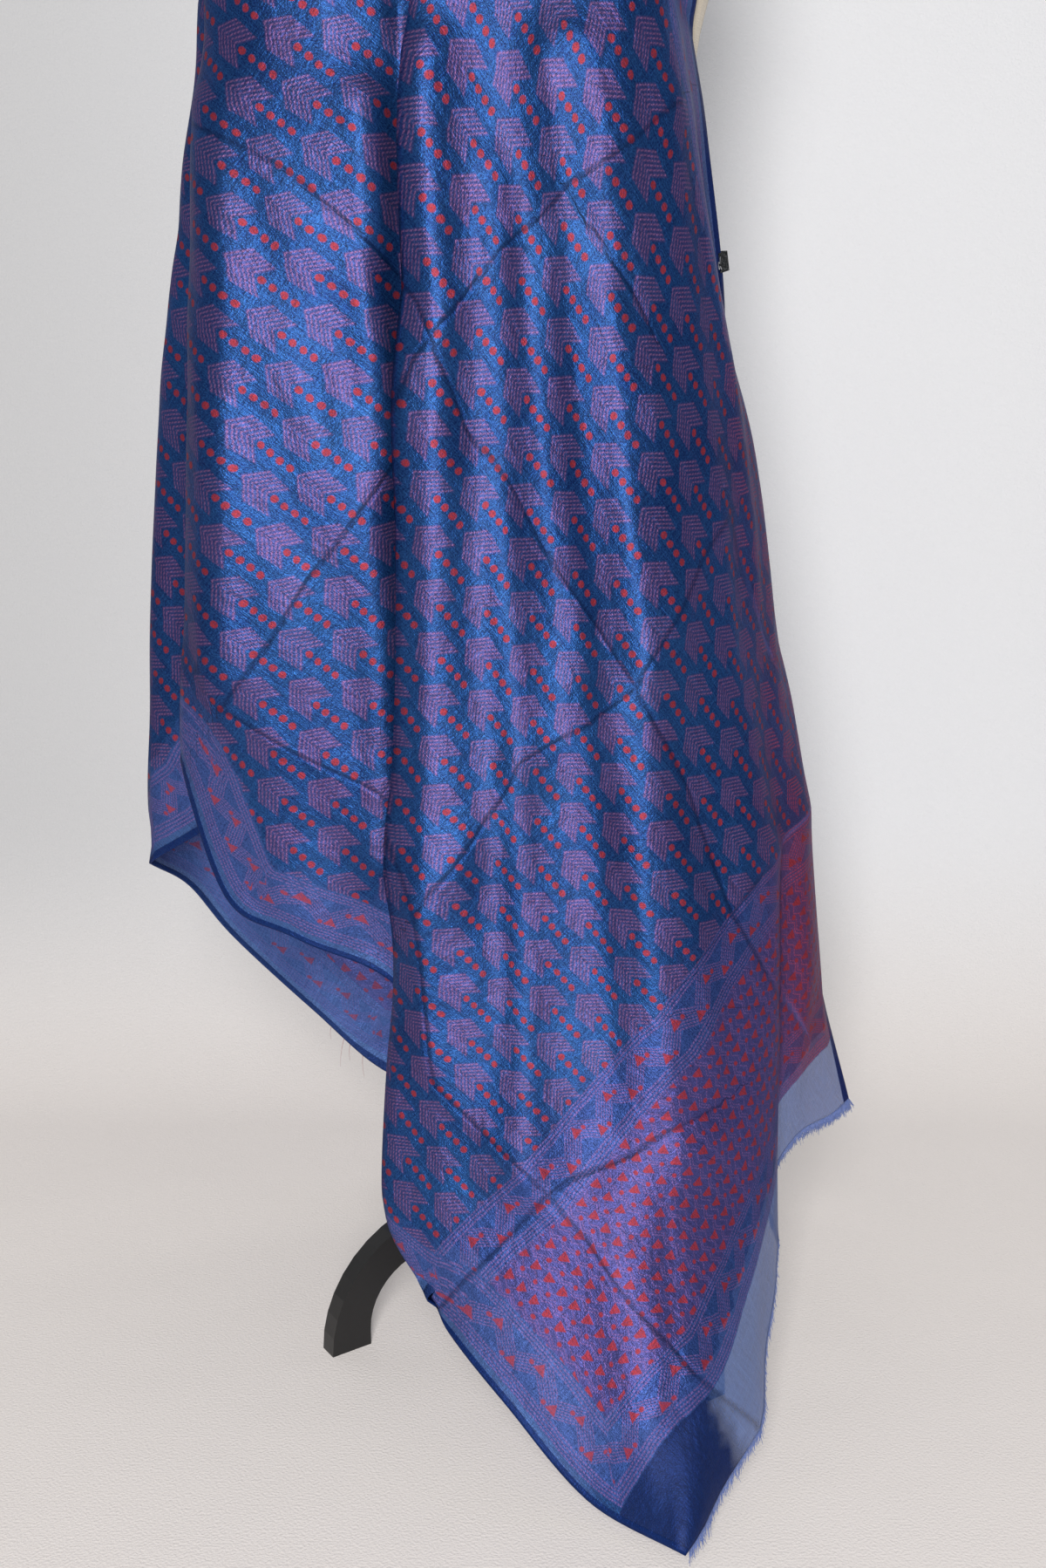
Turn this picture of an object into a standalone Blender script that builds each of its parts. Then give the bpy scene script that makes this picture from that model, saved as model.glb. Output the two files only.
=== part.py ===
"""Kantha dupatta draped over one shoulder of a dress form and pinned at the other hip.

Metres, +Z up, the form faces -Y. The origin is on the floor, at the middle of the
footprint of everything. The cloth is one closed sheet. It is laid out in stations: each
station is a line that runs from the bottom edge of the cloth up to the shoulder, and the
stations follow one another from the pinned front edge, across the front, round the left
side and across the back.
"""
import math

import bmesh
import bpy
from mathutils import Matrix, Vector

# ------------------------------------------------------------------ driving dimensions
POLE_X = 0.0546            # where the pole stands, from the middle of the footprint
POLE_Y = 0.1051

SHEET = 0.0012             # thickness of the cloth as built
GAP = 0.0003               # clearance between pieces that touch
FORM_CLEARANCE = 0.0032    # from the form's skin to the middle of the cloth
SHOULDER_CLEARANCE = 0.0068          # the same, measured level, on the sloping shoulder
SHOULDER_Z = (1.12, 1.28)            # heights between which the one passes into the other

# Heights at which stations are set
LEVELS = dict(shin=0.19, knee=0.38, waist=0.80, hip=0.966, bust=1.16)
BUST = LEVELS["bust"]
LEVEL_MARGIN = 0.012       # a level this close above the hem is left out
COLUMNS_PER_STATION = 3    # on the front
HEM_ROWS, TOP_ROWS = 13, 9           # rows below and above bust height

RIDGE_NECK, RIDGE_TIP = -0.066, -0.176               # shoulder line that carries the cloth
SIDE_SWELL = 0.45          # how much the side bulges on its way up to the shoulder

CLIP_Z = LEVELS["hip"]     # height of the binder clip on the right hip
CLIP_WIDTH = 0.016
CLIP_DEPTH = 0.011
CLIP_LIP = 0.0040          # how far the cloth reaches into the clip
CLIP_SPINE = 0.0036        # half the thickness of the clip at its spine
CLIP_PLATE = 0.0007        # its steel
CLIP_ROUND = 0.0010        # chamfer along the spine
CLIP_SLOT_GAP = 0.0006     # between the cloth and each jaw
WIRE = 0.0005              # radius of the handle wire
HANDLE_REACH, HANDLE_EYE = 0.011, 0.0028
HANDLE_LEAN = 0.5          # how far the handles stand off, for each unit of reach

FRINGE = 0.007             # length of the frayed threads
FRINGE_THICK = 0.0011
FRINGE_GAP, FRINGE_BAND = 0.0008, 0.0020             # where the comb's band starts and ends
FRINGE_TEETH = 2           # teeth for each column of the cloth

TORSO_SIDES, TURNED_SIDES = 40, 32
# height, half width, half depth, how far forward the middle lies
TORSO = (
    dict(z=0.800, wide=0.150, deep=0.098, front=0.004),
    dict(z=0.860, wide=0.147, deep=0.101, front=0.002),
    dict(z=0.970, wide=0.124, deep=0.092, front=0.000),
    dict(z=1.060, wide=0.107, deep=0.082, front=0.004),
    dict(z=1.145, wide=0.1153, deep=0.090, front=0.008),
    dict(z=1.175, wide=0.1225, deep=0.095, front=0.010),
    dict(z=1.250, wide=0.138, deep=0.108, front=0.014),
    dict(z=1.320, wide=0.152, deep=0.098, front=0.008),
    dict(z=1.370, wide=0.172, deep=0.078, front=0.002),
    dict(z=1.395, wide=0.168, deep=0.066, front=0.000),
    dict(z=1.415, wide=0.140, deep=0.058, front=0.000),
    dict(z=1.435, wide=0.100, deep=0.053, front=0.000),
    dict(z=1.452, wide=0.064, deep=0.051, front=0.000),
    dict(z=1.475, wide=0.054, deep=0.050, front=0.002),
    dict(z=1.530, wide=0.050, deep=0.048, front=0.006),
)
NECK_CAP, NECK_CAP_R = 0.012, 0.048                  # height and radius of the neck block
CHAMFER = 0.003            # on the turned wooden pieces
POLE_R = 0.0125
COLLAR_R, COLLAR_H = 0.021, 0.030
HUB_R, HUB_TOP, HUB_H = 0.032, 0.122, 0.062
LEG_REACH = 0.253          # from the pole to the outer tip of a foot
LEG_ANGLE = math.radians(214.0)      # direction of the first leg, from +X
LEG_OUTER_R, LEG_INNER_R = 0.118, 0.062
LEG_BOARD = 0.019          # thickness of the board
LEG_FOOT = 0.040           # width of the foot on the floor
LEG_STEPS = 10             # straight pieces in each arc of a leg

# One row for each station. hem is the point on the cloth's bottom edge, and the others are
# (x, y) at the levels above it, from the pole. A level left out is under the hem or smooth.
FRONT = (
    dict(hem=(0.270, -0.080, 0.227), knee=(0.236, -0.038), waist=(0.156, 0.008),
         hip=(0.1355, -0.034), bust=(0.099, -0.055)),
    dict(hem=(0.252, -0.098, 0.219), knee=(0.240, -0.066), waist=(0.171, -0.030),
         hip=(0.1260, -0.046), bust=(0.093, -0.080)),
    dict(hem=(0.215, -0.122, 0.210), knee=(0.222, -0.110), waist=(0.158, -0.078), bust=(0.084, -0.098)),
    dict(hem=(0.185, -0.150, 0.173), shin=(0.187, -0.147), knee=(0.200, -0.135),
         waist=(0.142, -0.100), bust=(0.074, -0.110)),
    dict(hem=(0.194, -0.190, 0.149), shin=(0.192, -0.182), knee=(0.186, -0.172),
         waist=(0.124, -0.128), bust=(0.062, -0.122)),
    dict(hem=(0.158, -0.330, 0.058), shin=(0.144, -0.262), knee=(0.132, -0.212),
         waist=(0.098, -0.150), bust=(0.046, -0.131)),
    dict(hem=(0.0946, -0.424, 0.010), shin=(0.086, -0.300), knee=(0.080, -0.232),
         waist=(0.070, -0.162), bust=(0.026, -0.134)),
    dict(hem=(0.022, -0.375, 0.021), shin=(0.018, -0.292), knee=(0.014, -0.226),
         waist=(0.018, -0.156), bust=(-0.014, -0.130)),
    dict(hem=(-0.046, -0.329, 0.079), shin=(-0.050, -0.276), knee=(-0.046, -0.214),
         waist=(-0.034, -0.150), bust=(-0.050, -0.126)),
    dict(hem=(-0.092, -0.292, 0.117), shin=(-0.106, -0.255), knee=(-0.096, -0.208),
         waist=(-0.088, -0.158), bust=(-0.090, -0.132)),
    dict(hem=(-0.110, -0.272, 0.132), shin=(-0.1465, -0.222), knee=(-0.133, -0.180),
         waist=(-0.123, -0.144), bust=(-0.113, -0.126)),
    dict(hem=(-0.030, -0.186, 0.240), knee=(-0.040, -0.150), waist=(-0.072, -0.124), bust=(-0.106, -0.114)),
    dict(hem=(-0.134, -0.136, 0.356), waist=(-0.128, -0.114), bust=(-0.124, -0.112)),
    dict(hem=(-0.2236, -0.130, 0.401), waist=(-0.205, -0.134), bust=(-0.184, -0.118)),
    dict(hem=(-0.290, -0.108, 0.432), waist=(-0.268, -0.122), bust=(-0.242, -0.104)),
    dict(hem=(-0.3290, -0.075, 0.551), waist=(-0.3045, -0.086), bust=(-0.280, -0.070)),
    dict(hem=(-0.3020, -0.040, 0.490), waist=(-0.282, -0.048), bust=(-0.266, -0.040)),
    dict(hem=(-0.3800, 0.000, 0.428), waist=(-0.3515, 0.000), bust=(-0.2965, 0.000)),
)
BACK = (
    dict(hem=(-0.3556, 0.060, 0.386), waist=(-0.334, 0.060), bust=(-0.276, 0.050)),
    dict(hem=(-0.3207, 0.090, 0.322), waist=(-0.290, 0.102), bust=(-0.238, 0.088)),
    dict(hem=(-0.2477, 0.120, 0.231), knee=(-0.244, 0.122), waist=(-0.222, 0.120), bust=(-0.188, 0.106)),
    dict(hem=(-0.1683, 0.126, 0.155), knee=(-0.160, 0.134), waist=(-0.144, 0.136), bust=(-0.128, 0.118)),
    dict(hem=(-0.085, 0.140, 0.134), knee=(-0.085, 0.144), waist=(-0.075, 0.138), bust=(-0.070, 0.116)),
    dict(hem=(-0.002, 0.143, 0.178), knee=(-0.002, 0.152), waist=(-0.008, 0.146), bust=(-0.020, 0.117)),
    dict(hem=(0.082, 0.124, 0.238), knee=(0.080, 0.130), waist=(0.058, 0.134), bust=(0.032, 0.112)),
    dict(hem=(0.150, 0.080, 0.300), knee=(0.146, 0.086), waist=(0.112, 0.106), bust=(0.074, 0.096)),
)
STATIONS = FRONT + BACK
TIP_STATION = 6            # the front corner of the cloth, where its raw end begins
CORNERS = (4, 5, TIP_STATION, 10, 17, 22)               # stations where the bottom edge turns sharply


# ------------------------------------------------------------------ small helpers
def clear_scene():
    for obj in list(bpy.data.objects):
        bpy.data.objects.remove(obj, do_unlink=True)


def material(name, colour, roughness, metallic=0.0):
    mat = bpy.data.materials.new(name)
    mat.use_nodes = True
    shader = mat.node_tree.nodes["Principled BSDF"]
    shader.inputs["Base Color"].default_value = (*colour, 1.0)
    shader.inputs["Roughness"].default_value = roughness
    shader.inputs["Metallic"].default_value = metallic
    return mat


def mesh_object(name, verts, faces, mat, smooth=True):
    mesh = bpy.data.meshes.new(name)
    mesh.from_pydata([tuple(v) for v in verts], [], faces)
    bm = bmesh.new()
    bm.from_mesh(mesh)
    bmesh.ops.recalc_face_normals(bm, faces=bm.faces)
    bm.to_mesh(mesh)
    bm.free()
    obj = bpy.data.objects.new(name, mesh)
    bpy.context.scene.collection.objects.link(obj)
    mesh.materials.append(mat)
    if smooth:
        mesh.shade_smooth()
        mesh.set_sharp_from_angle(angle=math.radians(40))
    obj.location = (POLE_X, POLE_Y, 0.0)
    return obj


def ring_solid(name, rings, mat):
    """A closed solid through rings of points, flat at its first and last ring."""
    verts = [point for ring in rings for point in ring]
    sides = len(rings[0])
    faces = []
    for row in range(len(rings) - 1):
        for i in range(sides):
            a, b = row * sides + i, row * sides + (i + 1) % sides
            faces.append((a, b, b + sides, a + sides))
    faces.append(tuple(range(sides)))
    faces.append(tuple(range(len(verts) - sides, len(verts))))
    return mesh_object(name, verts, faces, mat)


def smooth_between(keys, values, at, corners=()):
    """A cubic curve through the values, which may be vectors, set at rising keys.

    At a corner the curve may turn sharply.
    """
    last = len(keys) - 1
    i = max(0, min(last - 1, sum(1 for key in keys if key <= at) - 1))
    span = keys[i + 1] - keys[i]
    t = (at - keys[i]) / span

    def slope(j):
        low, high = max(0, j - 1), min(last, j + 1)
        if j in corners:
            low, high = i, i + 1
        return (values[high] - values[low]) / (keys[high] - keys[low]) * span

    a, b = values[i], values[i + 1]
    return (a * (2 * t**3 - 3 * t**2 + 1) + slope(i) * (t**3 - 2 * t**2 + t)
            + b * (3 * t**2 - 2 * t**3) + slope(i + 1) * (t**3 - t**2))


# ------------------------------------------------------------------ dress form
def torso_section(z):
    """Half width, half depth and middle of the form at a height."""
    keys = [row["z"] for row in TORSO]
    z = max(keys[0], min(keys[-1], z))
    return [smooth_between(keys, [row[name] for row in TORSO], z) for name in ("wide", "deep", "front")]


def shoulder_height(x):
    """Height of the form's shoulder line at a distance from its middle."""
    low, high = TORSO[8]["z"], TORSO[-1]["z"]
    for _ in range(30):
        middle = (low + high) / 2
        if torso_section(middle)[0] > abs(x):
            low = middle
        else:
            high = middle
    return low


def clearance(z):
    """Level distance from the form's skin to the middle of the cloth at a height."""
    low, high = SHOULDER_Z
    share = max(0.0, min(1.0, (z - low) / (high - low)))
    return FORM_CLEARANCE + (SHOULDER_CLEARANCE - FORM_CLEARANCE) * share


def clear_of_form(point):
    """Moves a point of the cloth out of the form, to its clearance from the skin."""
    x, y, z = point
    if z < TORSO[0]["z"] - 0.03:
        return point
    wide, deep, front = torso_section(z)
    wide += clearance(z)
    deep += clearance(z)
    reach = math.hypot(x / wide, (y + front) / deep)
    if reach >= 1.0 or reach == 0.0:
        return point
    return Vector((x / reach, (y + front) / reach - front, z))


def build_torso(mat):
    heights = [TORSO[0]["z"]]
    for low, high in zip(TORSO, TORSO[1:]):
        heights += [(low["z"] + high["z"]) / 2, high["z"]]
    angles = [math.tau * i / TORSO_SIDES for i in range(TORSO_SIDES)]
    rings = []
    for z in heights:
        wide, deep, front = torso_section(z)
        rings.append([(wide * math.cos(a), deep * math.sin(a) - front, z) for a in angles])
    return ring_solid("form_torso", rings, mat)


def turned(name, profile, mat, centre=(0.0, 0.0)):
    """A solid turned round the vertical through centre, from (radius, height) pairs."""
    angles = [math.tau * i / TURNED_SIDES for i in range(TURNED_SIDES)]
    rings = []
    for radius, z in profile:
        rings.append([(centre[0] + radius * math.cos(a), centre[1] + radius * math.sin(a), z) for a in angles])
    return ring_solid(name, rings, mat)


def build_stand(black, wood):
    neck_z, neck_y = TORSO[-1]["z"], -TORSO[-1]["front"]
    low = neck_z + GAP
    turned("form_neck_cap", [(NECK_CAP_R - CHAMFER, low), (NECK_CAP_R, low + CHAMFER),
                             (NECK_CAP_R, low + NECK_CAP - CHAMFER),
                             (NECK_CAP_R - CHAMFER, low + NECK_CAP)], wood, centre=(0.0, neck_y))
    collar_top = TORSO[0]["z"] - GAP
    turned("stand_collar", [(COLLAR_R, collar_top - COLLAR_H), (COLLAR_R, collar_top)], black)
    turned("stand_pole", [(POLE_R, HUB_TOP + GAP), (POLE_R, collar_top - COLLAR_H - GAP)], black)
    turned("stand_hub", [(HUB_R - CHAMFER, HUB_TOP - HUB_H), (HUB_R, HUB_TOP - HUB_H + CHAMFER),
                         (HUB_R, HUB_TOP - CHAMFER), (HUB_R - CHAMFER, HUB_TOP)], black)
    for number in range(4):
        build_leg(number, black)


def build_leg(number, mat):
    """A flat board: a straight arm at the hub that turns down in a quarter circle."""
    start = HUB_R + GAP
    outline = [(start, LEG_OUTER_R)]
    for step in range(LEG_STEPS + 1):
        angle = math.pi / 2 * (1.0 - step / LEG_STEPS)
        outline.append((LEG_REACH - LEG_OUTER_R * (1.0 - math.cos(angle)), LEG_OUTER_R * math.sin(angle)))
    inner_out = LEG_REACH - LEG_FOOT - LEG_INNER_R
    inner_low = LEG_OUTER_R - LEG_FOOT - LEG_INNER_R
    outline.append((LEG_REACH - LEG_FOOT, 0.0))
    for step in range(LEG_STEPS + 1):
        angle = math.pi / 2 * step / LEG_STEPS
        outline.append((inner_out + LEG_INNER_R * math.cos(angle), inner_low + LEG_INNER_R * math.sin(angle)))
    outline.append((start, LEG_OUTER_R - LEG_FOOT))
    heading = LEG_ANGLE + number * math.pi / 2
    along = Vector((math.cos(heading), math.sin(heading)))
    across = Vector((-along.y, along.x))
    verts, count = [], len(outline)
    for side in (-LEG_BOARD / 2, LEG_BOARD / 2):
        for out, z in outline:
            spot = along * out + across * side
            verts.append((spot.x, spot.y, z))
    faces = [tuple(range(count)), tuple(range(2 * count - 1, count - 1, -1))]
    faces += [(i, (i + 1) % count, (i + 1) % count + count, i + count) for i in range(count)]
    return mesh_object(f"stand_leg_{number + 1}", verts, faces, mat)


# ------------------------------------------------------------------ cloth
def station_point(station, z):
    """Where a station's line passes a height, between its hem and the bust."""
    hem = station["hem"]
    keys, values = [hem[2]], [Vector(hem[:2])]
    for name, height in LEVELS.items():
        if name in station and height > hem[2] + LEVEL_MARGIN:
            keys.append(height)
            values.append(Vector(station[name]))
    return smooth_between(keys, values, z)


def column_positions():
    """Station numbers, with fractions between them, of all columns of the sheet."""
    side = len(FRONT) - 1
    columns = [i / COLUMNS_PER_STATION for i in range(side * COLUMNS_PER_STATION)]
    count = len(columns)
    return columns + [side + len(BACK) * i / count for i in range(count + 1)]


def cloth_point(at, share):
    """A point of the cloth: at is the station number, share runs from hem 0 to bust 1."""
    numbers = list(range(len(STATIONS)))
    hem = smooth_between(numbers, [Vector(station["hem"]) for station in STATIONS], at, CORNERS)
    spots = []
    for station in STATIONS:
        low = station["hem"][2]
        spots.append(station_point(station, low + (BUST - low) * share))
    spot = smooth_between(numbers, spots, at, CORNERS if share == 0.0 else ())
    return clear_of_form(Vector((spot.x, spot.y, hem.z + (BUST - hem.z) * share)))


def ridge_point(number, count):
    """Where a column crosses the shoulder: from the neck to the tip and back again."""
    half = (count - 1) / 2
    share = 1.0 - abs(number - half) / half
    x = RIDGE_NECK + (RIDGE_TIP - RIDGE_NECK) * share
    return Vector((x, 0.0, shoulder_height(abs(x) - SHOULDER_CLEARANCE)))


def cloth_grid():
    """Rows of points from the hem to the shoulder, one point for each column."""
    columns = column_positions()
    rows = [[cloth_point(at, row / HEM_ROWS) for at in columns] for row in range(HEM_ROWS + 1)]
    half = (len(columns) - 1) / 2
    bust_row = rows[-1]
    for row in range(1, TOP_ROWS):
        turn = math.pi / 2 * row / TOP_ROWS
        points = []
        for number, low in enumerate(bust_row):
            ridge = ridge_point(number, len(columns))
            swell = 1.0 + SIDE_SWELL * (1.0 - abs(number - half) / half)
            x = low.x + (ridge.x - low.x) * math.sin(turn) ** swell
            z = low.z + (ridge.z - low.z) * math.sin(turn)
            points.append(clear_of_form(Vector((x, low.y * math.cos(turn), z))))
        rows.append(points)
    return rows


def build_cloth(mat):
    rows = cloth_grid()
    count = len(rows[0])
    half = (count - 1) // 2
    verts = [point for row in rows for point in row]
    ridge = len(verts)
    verts += [ridge_point(number, count) for number in range(half + 1)]
    faces = []
    for row in range(len(rows) - 1):
        for number in range(count - 1):
            a = row * count + number
            faces.append((a, a + 1, a + 1 + count, a + count))
    top = (len(rows) - 1) * count
    for number in range(count - 1):
        left = ridge + min(number, count - 1 - number)
        right = ridge + min(number + 1, count - 2 - number)
        faces.append((top + number, top + number + 1, right, left))
    obj = mesh_object("dupatta", verts, faces, mat)
    thick = obj.modifiers.new("Thickness", "SOLIDIFY")
    thick.thickness = SHEET
    thick.offset = 0.0
    return rows


def build_fringe(rows, mat):
    """The comb of frayed threads along the raw end, from the pinned edge to the front corner."""
    count = TIP_STATION * COLUMNS_PER_STATION
    front, back, faces = [], [], []
    for step in range(count * FRINGE_TEETH * 2 + 1):
        number, part = divmod(step / (FRINGE_TEETH * 2), 1.0)
        left = int(min(number, count - 1))
        part = step / (FRINGE_TEETH * 2) - left
        edge = rows[0][left].lerp(rows[0][left + 1], part)
        above = rows[1][left].lerp(rows[1][left + 1], part)
        down = (edge - above).normalized()
        out = (rows[0][left + 1] - rows[0][left]).cross(down).normalized() * FRINGE_THICK / 2
        length = FRINGE * (0.75 + 0.25 * math.sin(2.4 * step) * math.cos(0.7 * step))
        for offset in (FRINGE_GAP, FRINGE_BAND, length):
            spot = edge + down * offset
            front.append(spot + out)
            back.append(spot - out)
    total = len(front)
    steps = total // 3
    for step in range(steps - 1):
        top, band, tip = 3 * step, 3 * step + 1, 3 * step + 2
        faces.append((top, band, band + 3, top + 3))
        faces.append((total + top, total + top + 3, total + band + 3, total + band))
        faces.append((top, top + 3, total + top + 3, total + top))
        if step % 2:
            faces.append((band, total + band, total + band + 3, band + 3))
        else:
            faces.append((band, tip, band + 3))
            faces.append((total + band, total + band + 3, total + tip))
            faces.append((band, total + band, total + tip, tip))
            faces.append((tip, total + tip, total + band + 3, band + 3))
    faces.append((0, total, total + 1, 1))
    faces.append((total - 3, total - 2, 2 * total - 2, 2 * total - 3))
    return mesh_object("fringe", front + back, faces, mat, smooth=False)


# ------------------------------------------------------------------ binder clip
def clip_frame(rows):
    """The clip's place: local x leads out of the cloth's edge, and z runs up it."""
    spots = []
    for number in (0, 1):
        for low, high in zip(rows, rows[1:]):
            if low[number].z <= CLIP_Z < high[number].z:
                share = (CLIP_Z - low[number].z) / (high[number].z - low[number].z)
                spots.append(low[number].lerp(high[number], share))
                if number == 0:
                    up = (high[0] - low[0]).normalized()
    edge, inside = spots
    side = up.cross(edge - inside).normalized()
    out = side.cross(up)
    frame = Matrix((out, side, up)).transposed().to_4x4()
    frame.translation = edge
    return frame


def build_clip(rows, steel, wire):
    frame = clip_frame(rows)
    lip, spine = -CLIP_LIP, CLIP_DEPTH - CLIP_LIP
    slot = SHEET / 2 + CLIP_SLOT_GAP
    outer = [(lip, slot + CLIP_PLATE), (spine - CLIP_ROUND, CLIP_SPINE), (spine, CLIP_SPINE - CLIP_ROUND)]
    inner = [(lip, slot), (spine - CLIP_ROUND - CLIP_PLATE, CLIP_SPINE - CLIP_PLATE)]
    outline = outer + [(x, -y) for x, y in reversed(outer)]
    outline += [(x, -y) for x, y in inner] + [(x, y) for x, y in reversed(inner)]
    count = len(outline)
    verts = [frame @ Vector((x, y, z)) for z in (-CLIP_WIDTH / 2, CLIP_WIDTH / 2) for x, y in outline]
    faces = [tuple(range(count)), tuple(range(2 * count - 1, count - 1, -1))]
    faces += [(i, (i + 1) % count, (i + 1) % count + count, i + count) for i in range(count)]
    mesh_object("clip_body", verts, faces, steel, smooth=False)
    for name, side in (("clip_handle_front", -1), ("clip_handle_back", 1)):
        build_handle(name, frame, side, slot + CLIP_PLATE + WIRE + GAP, lip, wire)


def build_handle(name, frame, side, level, lip, mat):
    """A wire loop with its two feet at the clip's lip, which leans away from the cloth."""
    foot, waist, reach, eye = CLIP_WIDTH * 0.30, CLIP_WIDTH * 0.10, HANDLE_REACH, HANDLE_EYE
    half = [(lip + GAP, foot), (lip - GAP, foot), (lip - reach * 0.45, waist), (lip - reach * 0.7, waist)]
    loop = []
    for step in range(9):
        angle = math.radians(40 + 35 * step)
        loop.append((lip - reach * 0.7 - eye + eye * math.cos(angle), eye * math.sin(angle)))
    route = half + loop + [(x, -z) for x, z in reversed(half)]
    curve = bpy.data.curves.new(name, "CURVE")
    curve.dimensions = "3D"
    curve.bevel_depth = WIRE
    curve.bevel_resolution = 2
    curve.use_fill_caps = True
    spline = curve.splines.new("POLY")
    spline.points.add(len(route) - 1)
    for point, (x, z) in zip(spline.points, route):
        lean = HANDLE_LEAN * max(0.0, lip - x)
        point.co = (*(frame @ Vector((x, side * (level + lean), z))), 1.0)
    curve.materials.append(mat)
    obj = bpy.data.objects.new(name, curve)
    bpy.context.scene.collection.objects.link(obj)
    obj.location = (POLE_X, POLE_Y, 0.0)
    return obj


def main():
    clear_scene()
    silk = material("silk", (0.05, 0.13, 0.42), 0.45)
    steel = material("clip_steel", (0.10, 0.10, 0.11), 0.4, 0.8)
    black = material("black_wood", (0.012, 0.012, 0.013), 0.35)
    jersey = material("form_jersey", (0.72, 0.66, 0.56), 0.9)
    beech = material("beech", (0.55, 0.38, 0.22), 0.5)
    build_torso(jersey)
    build_stand(black, beech)
    rows = build_cloth(silk)
    build_fringe(rows, silk)
    build_clip(rows, steel, steel)


main()
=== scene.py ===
# %% [markdown]
# # A kantha dupatta on a dress form
#
# A dupatta is a long scarf. This one is thin silk covered with rows of running stitch, which
# is what kantha means. It hangs over one shoulder of a dress form, so its threads run down
# the front at a slant, and a small clip holds its edge at the other hip. The fixed model is
# loaded first, and then each piece gets its real surface.

# %% Load the model
import math
import random

import bmesh
import bpy
import numpy as np
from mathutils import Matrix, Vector


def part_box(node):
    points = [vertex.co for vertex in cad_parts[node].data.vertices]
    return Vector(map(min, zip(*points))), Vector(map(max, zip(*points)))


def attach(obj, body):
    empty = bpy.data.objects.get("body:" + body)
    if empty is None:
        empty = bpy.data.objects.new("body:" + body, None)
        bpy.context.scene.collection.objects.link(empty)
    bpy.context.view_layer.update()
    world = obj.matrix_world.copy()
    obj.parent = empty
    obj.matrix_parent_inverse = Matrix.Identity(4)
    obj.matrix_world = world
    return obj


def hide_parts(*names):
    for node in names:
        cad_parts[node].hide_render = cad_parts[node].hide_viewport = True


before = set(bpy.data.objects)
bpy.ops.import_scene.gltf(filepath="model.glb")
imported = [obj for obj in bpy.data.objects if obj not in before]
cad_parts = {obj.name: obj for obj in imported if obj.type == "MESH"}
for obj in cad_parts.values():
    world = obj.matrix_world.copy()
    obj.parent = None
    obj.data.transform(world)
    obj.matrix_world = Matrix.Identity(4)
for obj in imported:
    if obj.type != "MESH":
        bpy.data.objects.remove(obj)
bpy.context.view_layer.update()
pole_low, pole_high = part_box("stand_pole")
POLE = Vector(((pole_low.x + pole_high.x) / 2, (pole_low.y + pole_high.y) / 2, 0.0))
bpy.ops.object.select_all(action="DESELECT")
print("pieces of the fixed model:", ", ".join(sorted(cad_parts)))

# %% [markdown]
# ## Sums in a material
#
# A material is a net of nodes. A pattern of stitches is mostly arithmetic on two lengths,
# across the cloth and along it, which is easier to read as a sum than as a net. So one small
# class stands for a value in the net, and a sum on it adds the Math nodes. Any other node
# comes from `node`, which takes its type, settings and inputs.

# %% A value that runs through a material
def sums(operation):
    """A method that adds one Math node to the material."""
    def add_math(*values):
        return node("ShaderNodeMath", dict(operation=operation), dict(enumerate(values)))
    return add_math


class Strand:
    """A value in a material's net. A sum on it adds a Math node."""

    tree = None
    __add__ = __radd__ = sums("ADD")
    __mul__ = __rmul__ = sums("MULTIPLY")
    __sub__, __truediv__, __abs__ = sums("SUBTRACT"), sums("DIVIDE"), sums("ABSOLUTE")
    floor, fract, root = sums("FLOOR"), sums("FRACT"), sums("SQRT")
    least, most = sums("MINIMUM"), sums("MAXIMUM")

    def __init__(self, socket):
        self.socket = socket

    def __rsub__(self, other):
        return sums("SUBTRACT")(other, self)


def node(kind, settings=None, inputs=None, output=0):
    """Adds a node to the material that Strand.tree holds, and gives one of its outputs."""
    made = Strand.tree.nodes.new(kind)
    for name, value in (settings or {}).items():
        setattr(made, name, value)
    for name, value in (inputs or {}).items():
        if isinstance(value, Strand):
            Strand.tree.links.new(value.socket, made.inputs[name])
        else:
            made.inputs[name].default_value = value
    return Strand(made.outputs[output])


# %% Common shapes made of such values
def step_up(value, at, soft, ends=(0.0, 1.0)):
    """0 below a level and 1 above it, with a soft edge."""
    return node("ShaderNodeMapRange", dict(interpolation_type="SMOOTHSTEP"),
                {0: value, 1: at - soft, 2: at + soft, 3: ends[0], 4: ends[1]})


def step_down(value, at, soft):
    return step_up(value, at, soft, (1.0, 0.0))


def within(value, low, high, soft):
    """1 between two levels."""
    return step_up(value, low, soft) * step_down(value, high, soft)


def far(across, along):
    """Distance from a point, from the two lengths to it."""
    return (across * across + along * along).root()


def wander(vector, scale, detail=2.0, rough=0.5):
    """An uneven value of about 0 to 1 that changes from place to place."""
    return node("ShaderNodeTexNoise", {},
                {"Vector": vector, "Scale": scale, "Detail": detail, "Roughness": rough})


def spot(x, y, z=0.0):
    return node("ShaderNodeCombineXYZ", {}, {0: x, 1: y, 2: z})


def split(place, axes="XYZ"):
    """The lengths of a place."""
    return [node("ShaderNodeSeparateXYZ", {}, {0: place}, output=axis) for axis in axes]


def blend(share, first, second):
    """A colour between two others."""
    return node("ShaderNodeMix", dict(data_type="RGBA"), {0: share, 6: first, 7: second}, output=2)


def rgb(red, green, blue):
    """A colour as seen on a screen, 0 to 255, in the linear numbers that a shader uses."""
    linear = [((c / 255 + 0.055) / 1.055) ** 2.4 if c > 10 else c / 255 / 12.92 for c in (red, green, blue)]
    return (*linear, 1.0)


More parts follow.
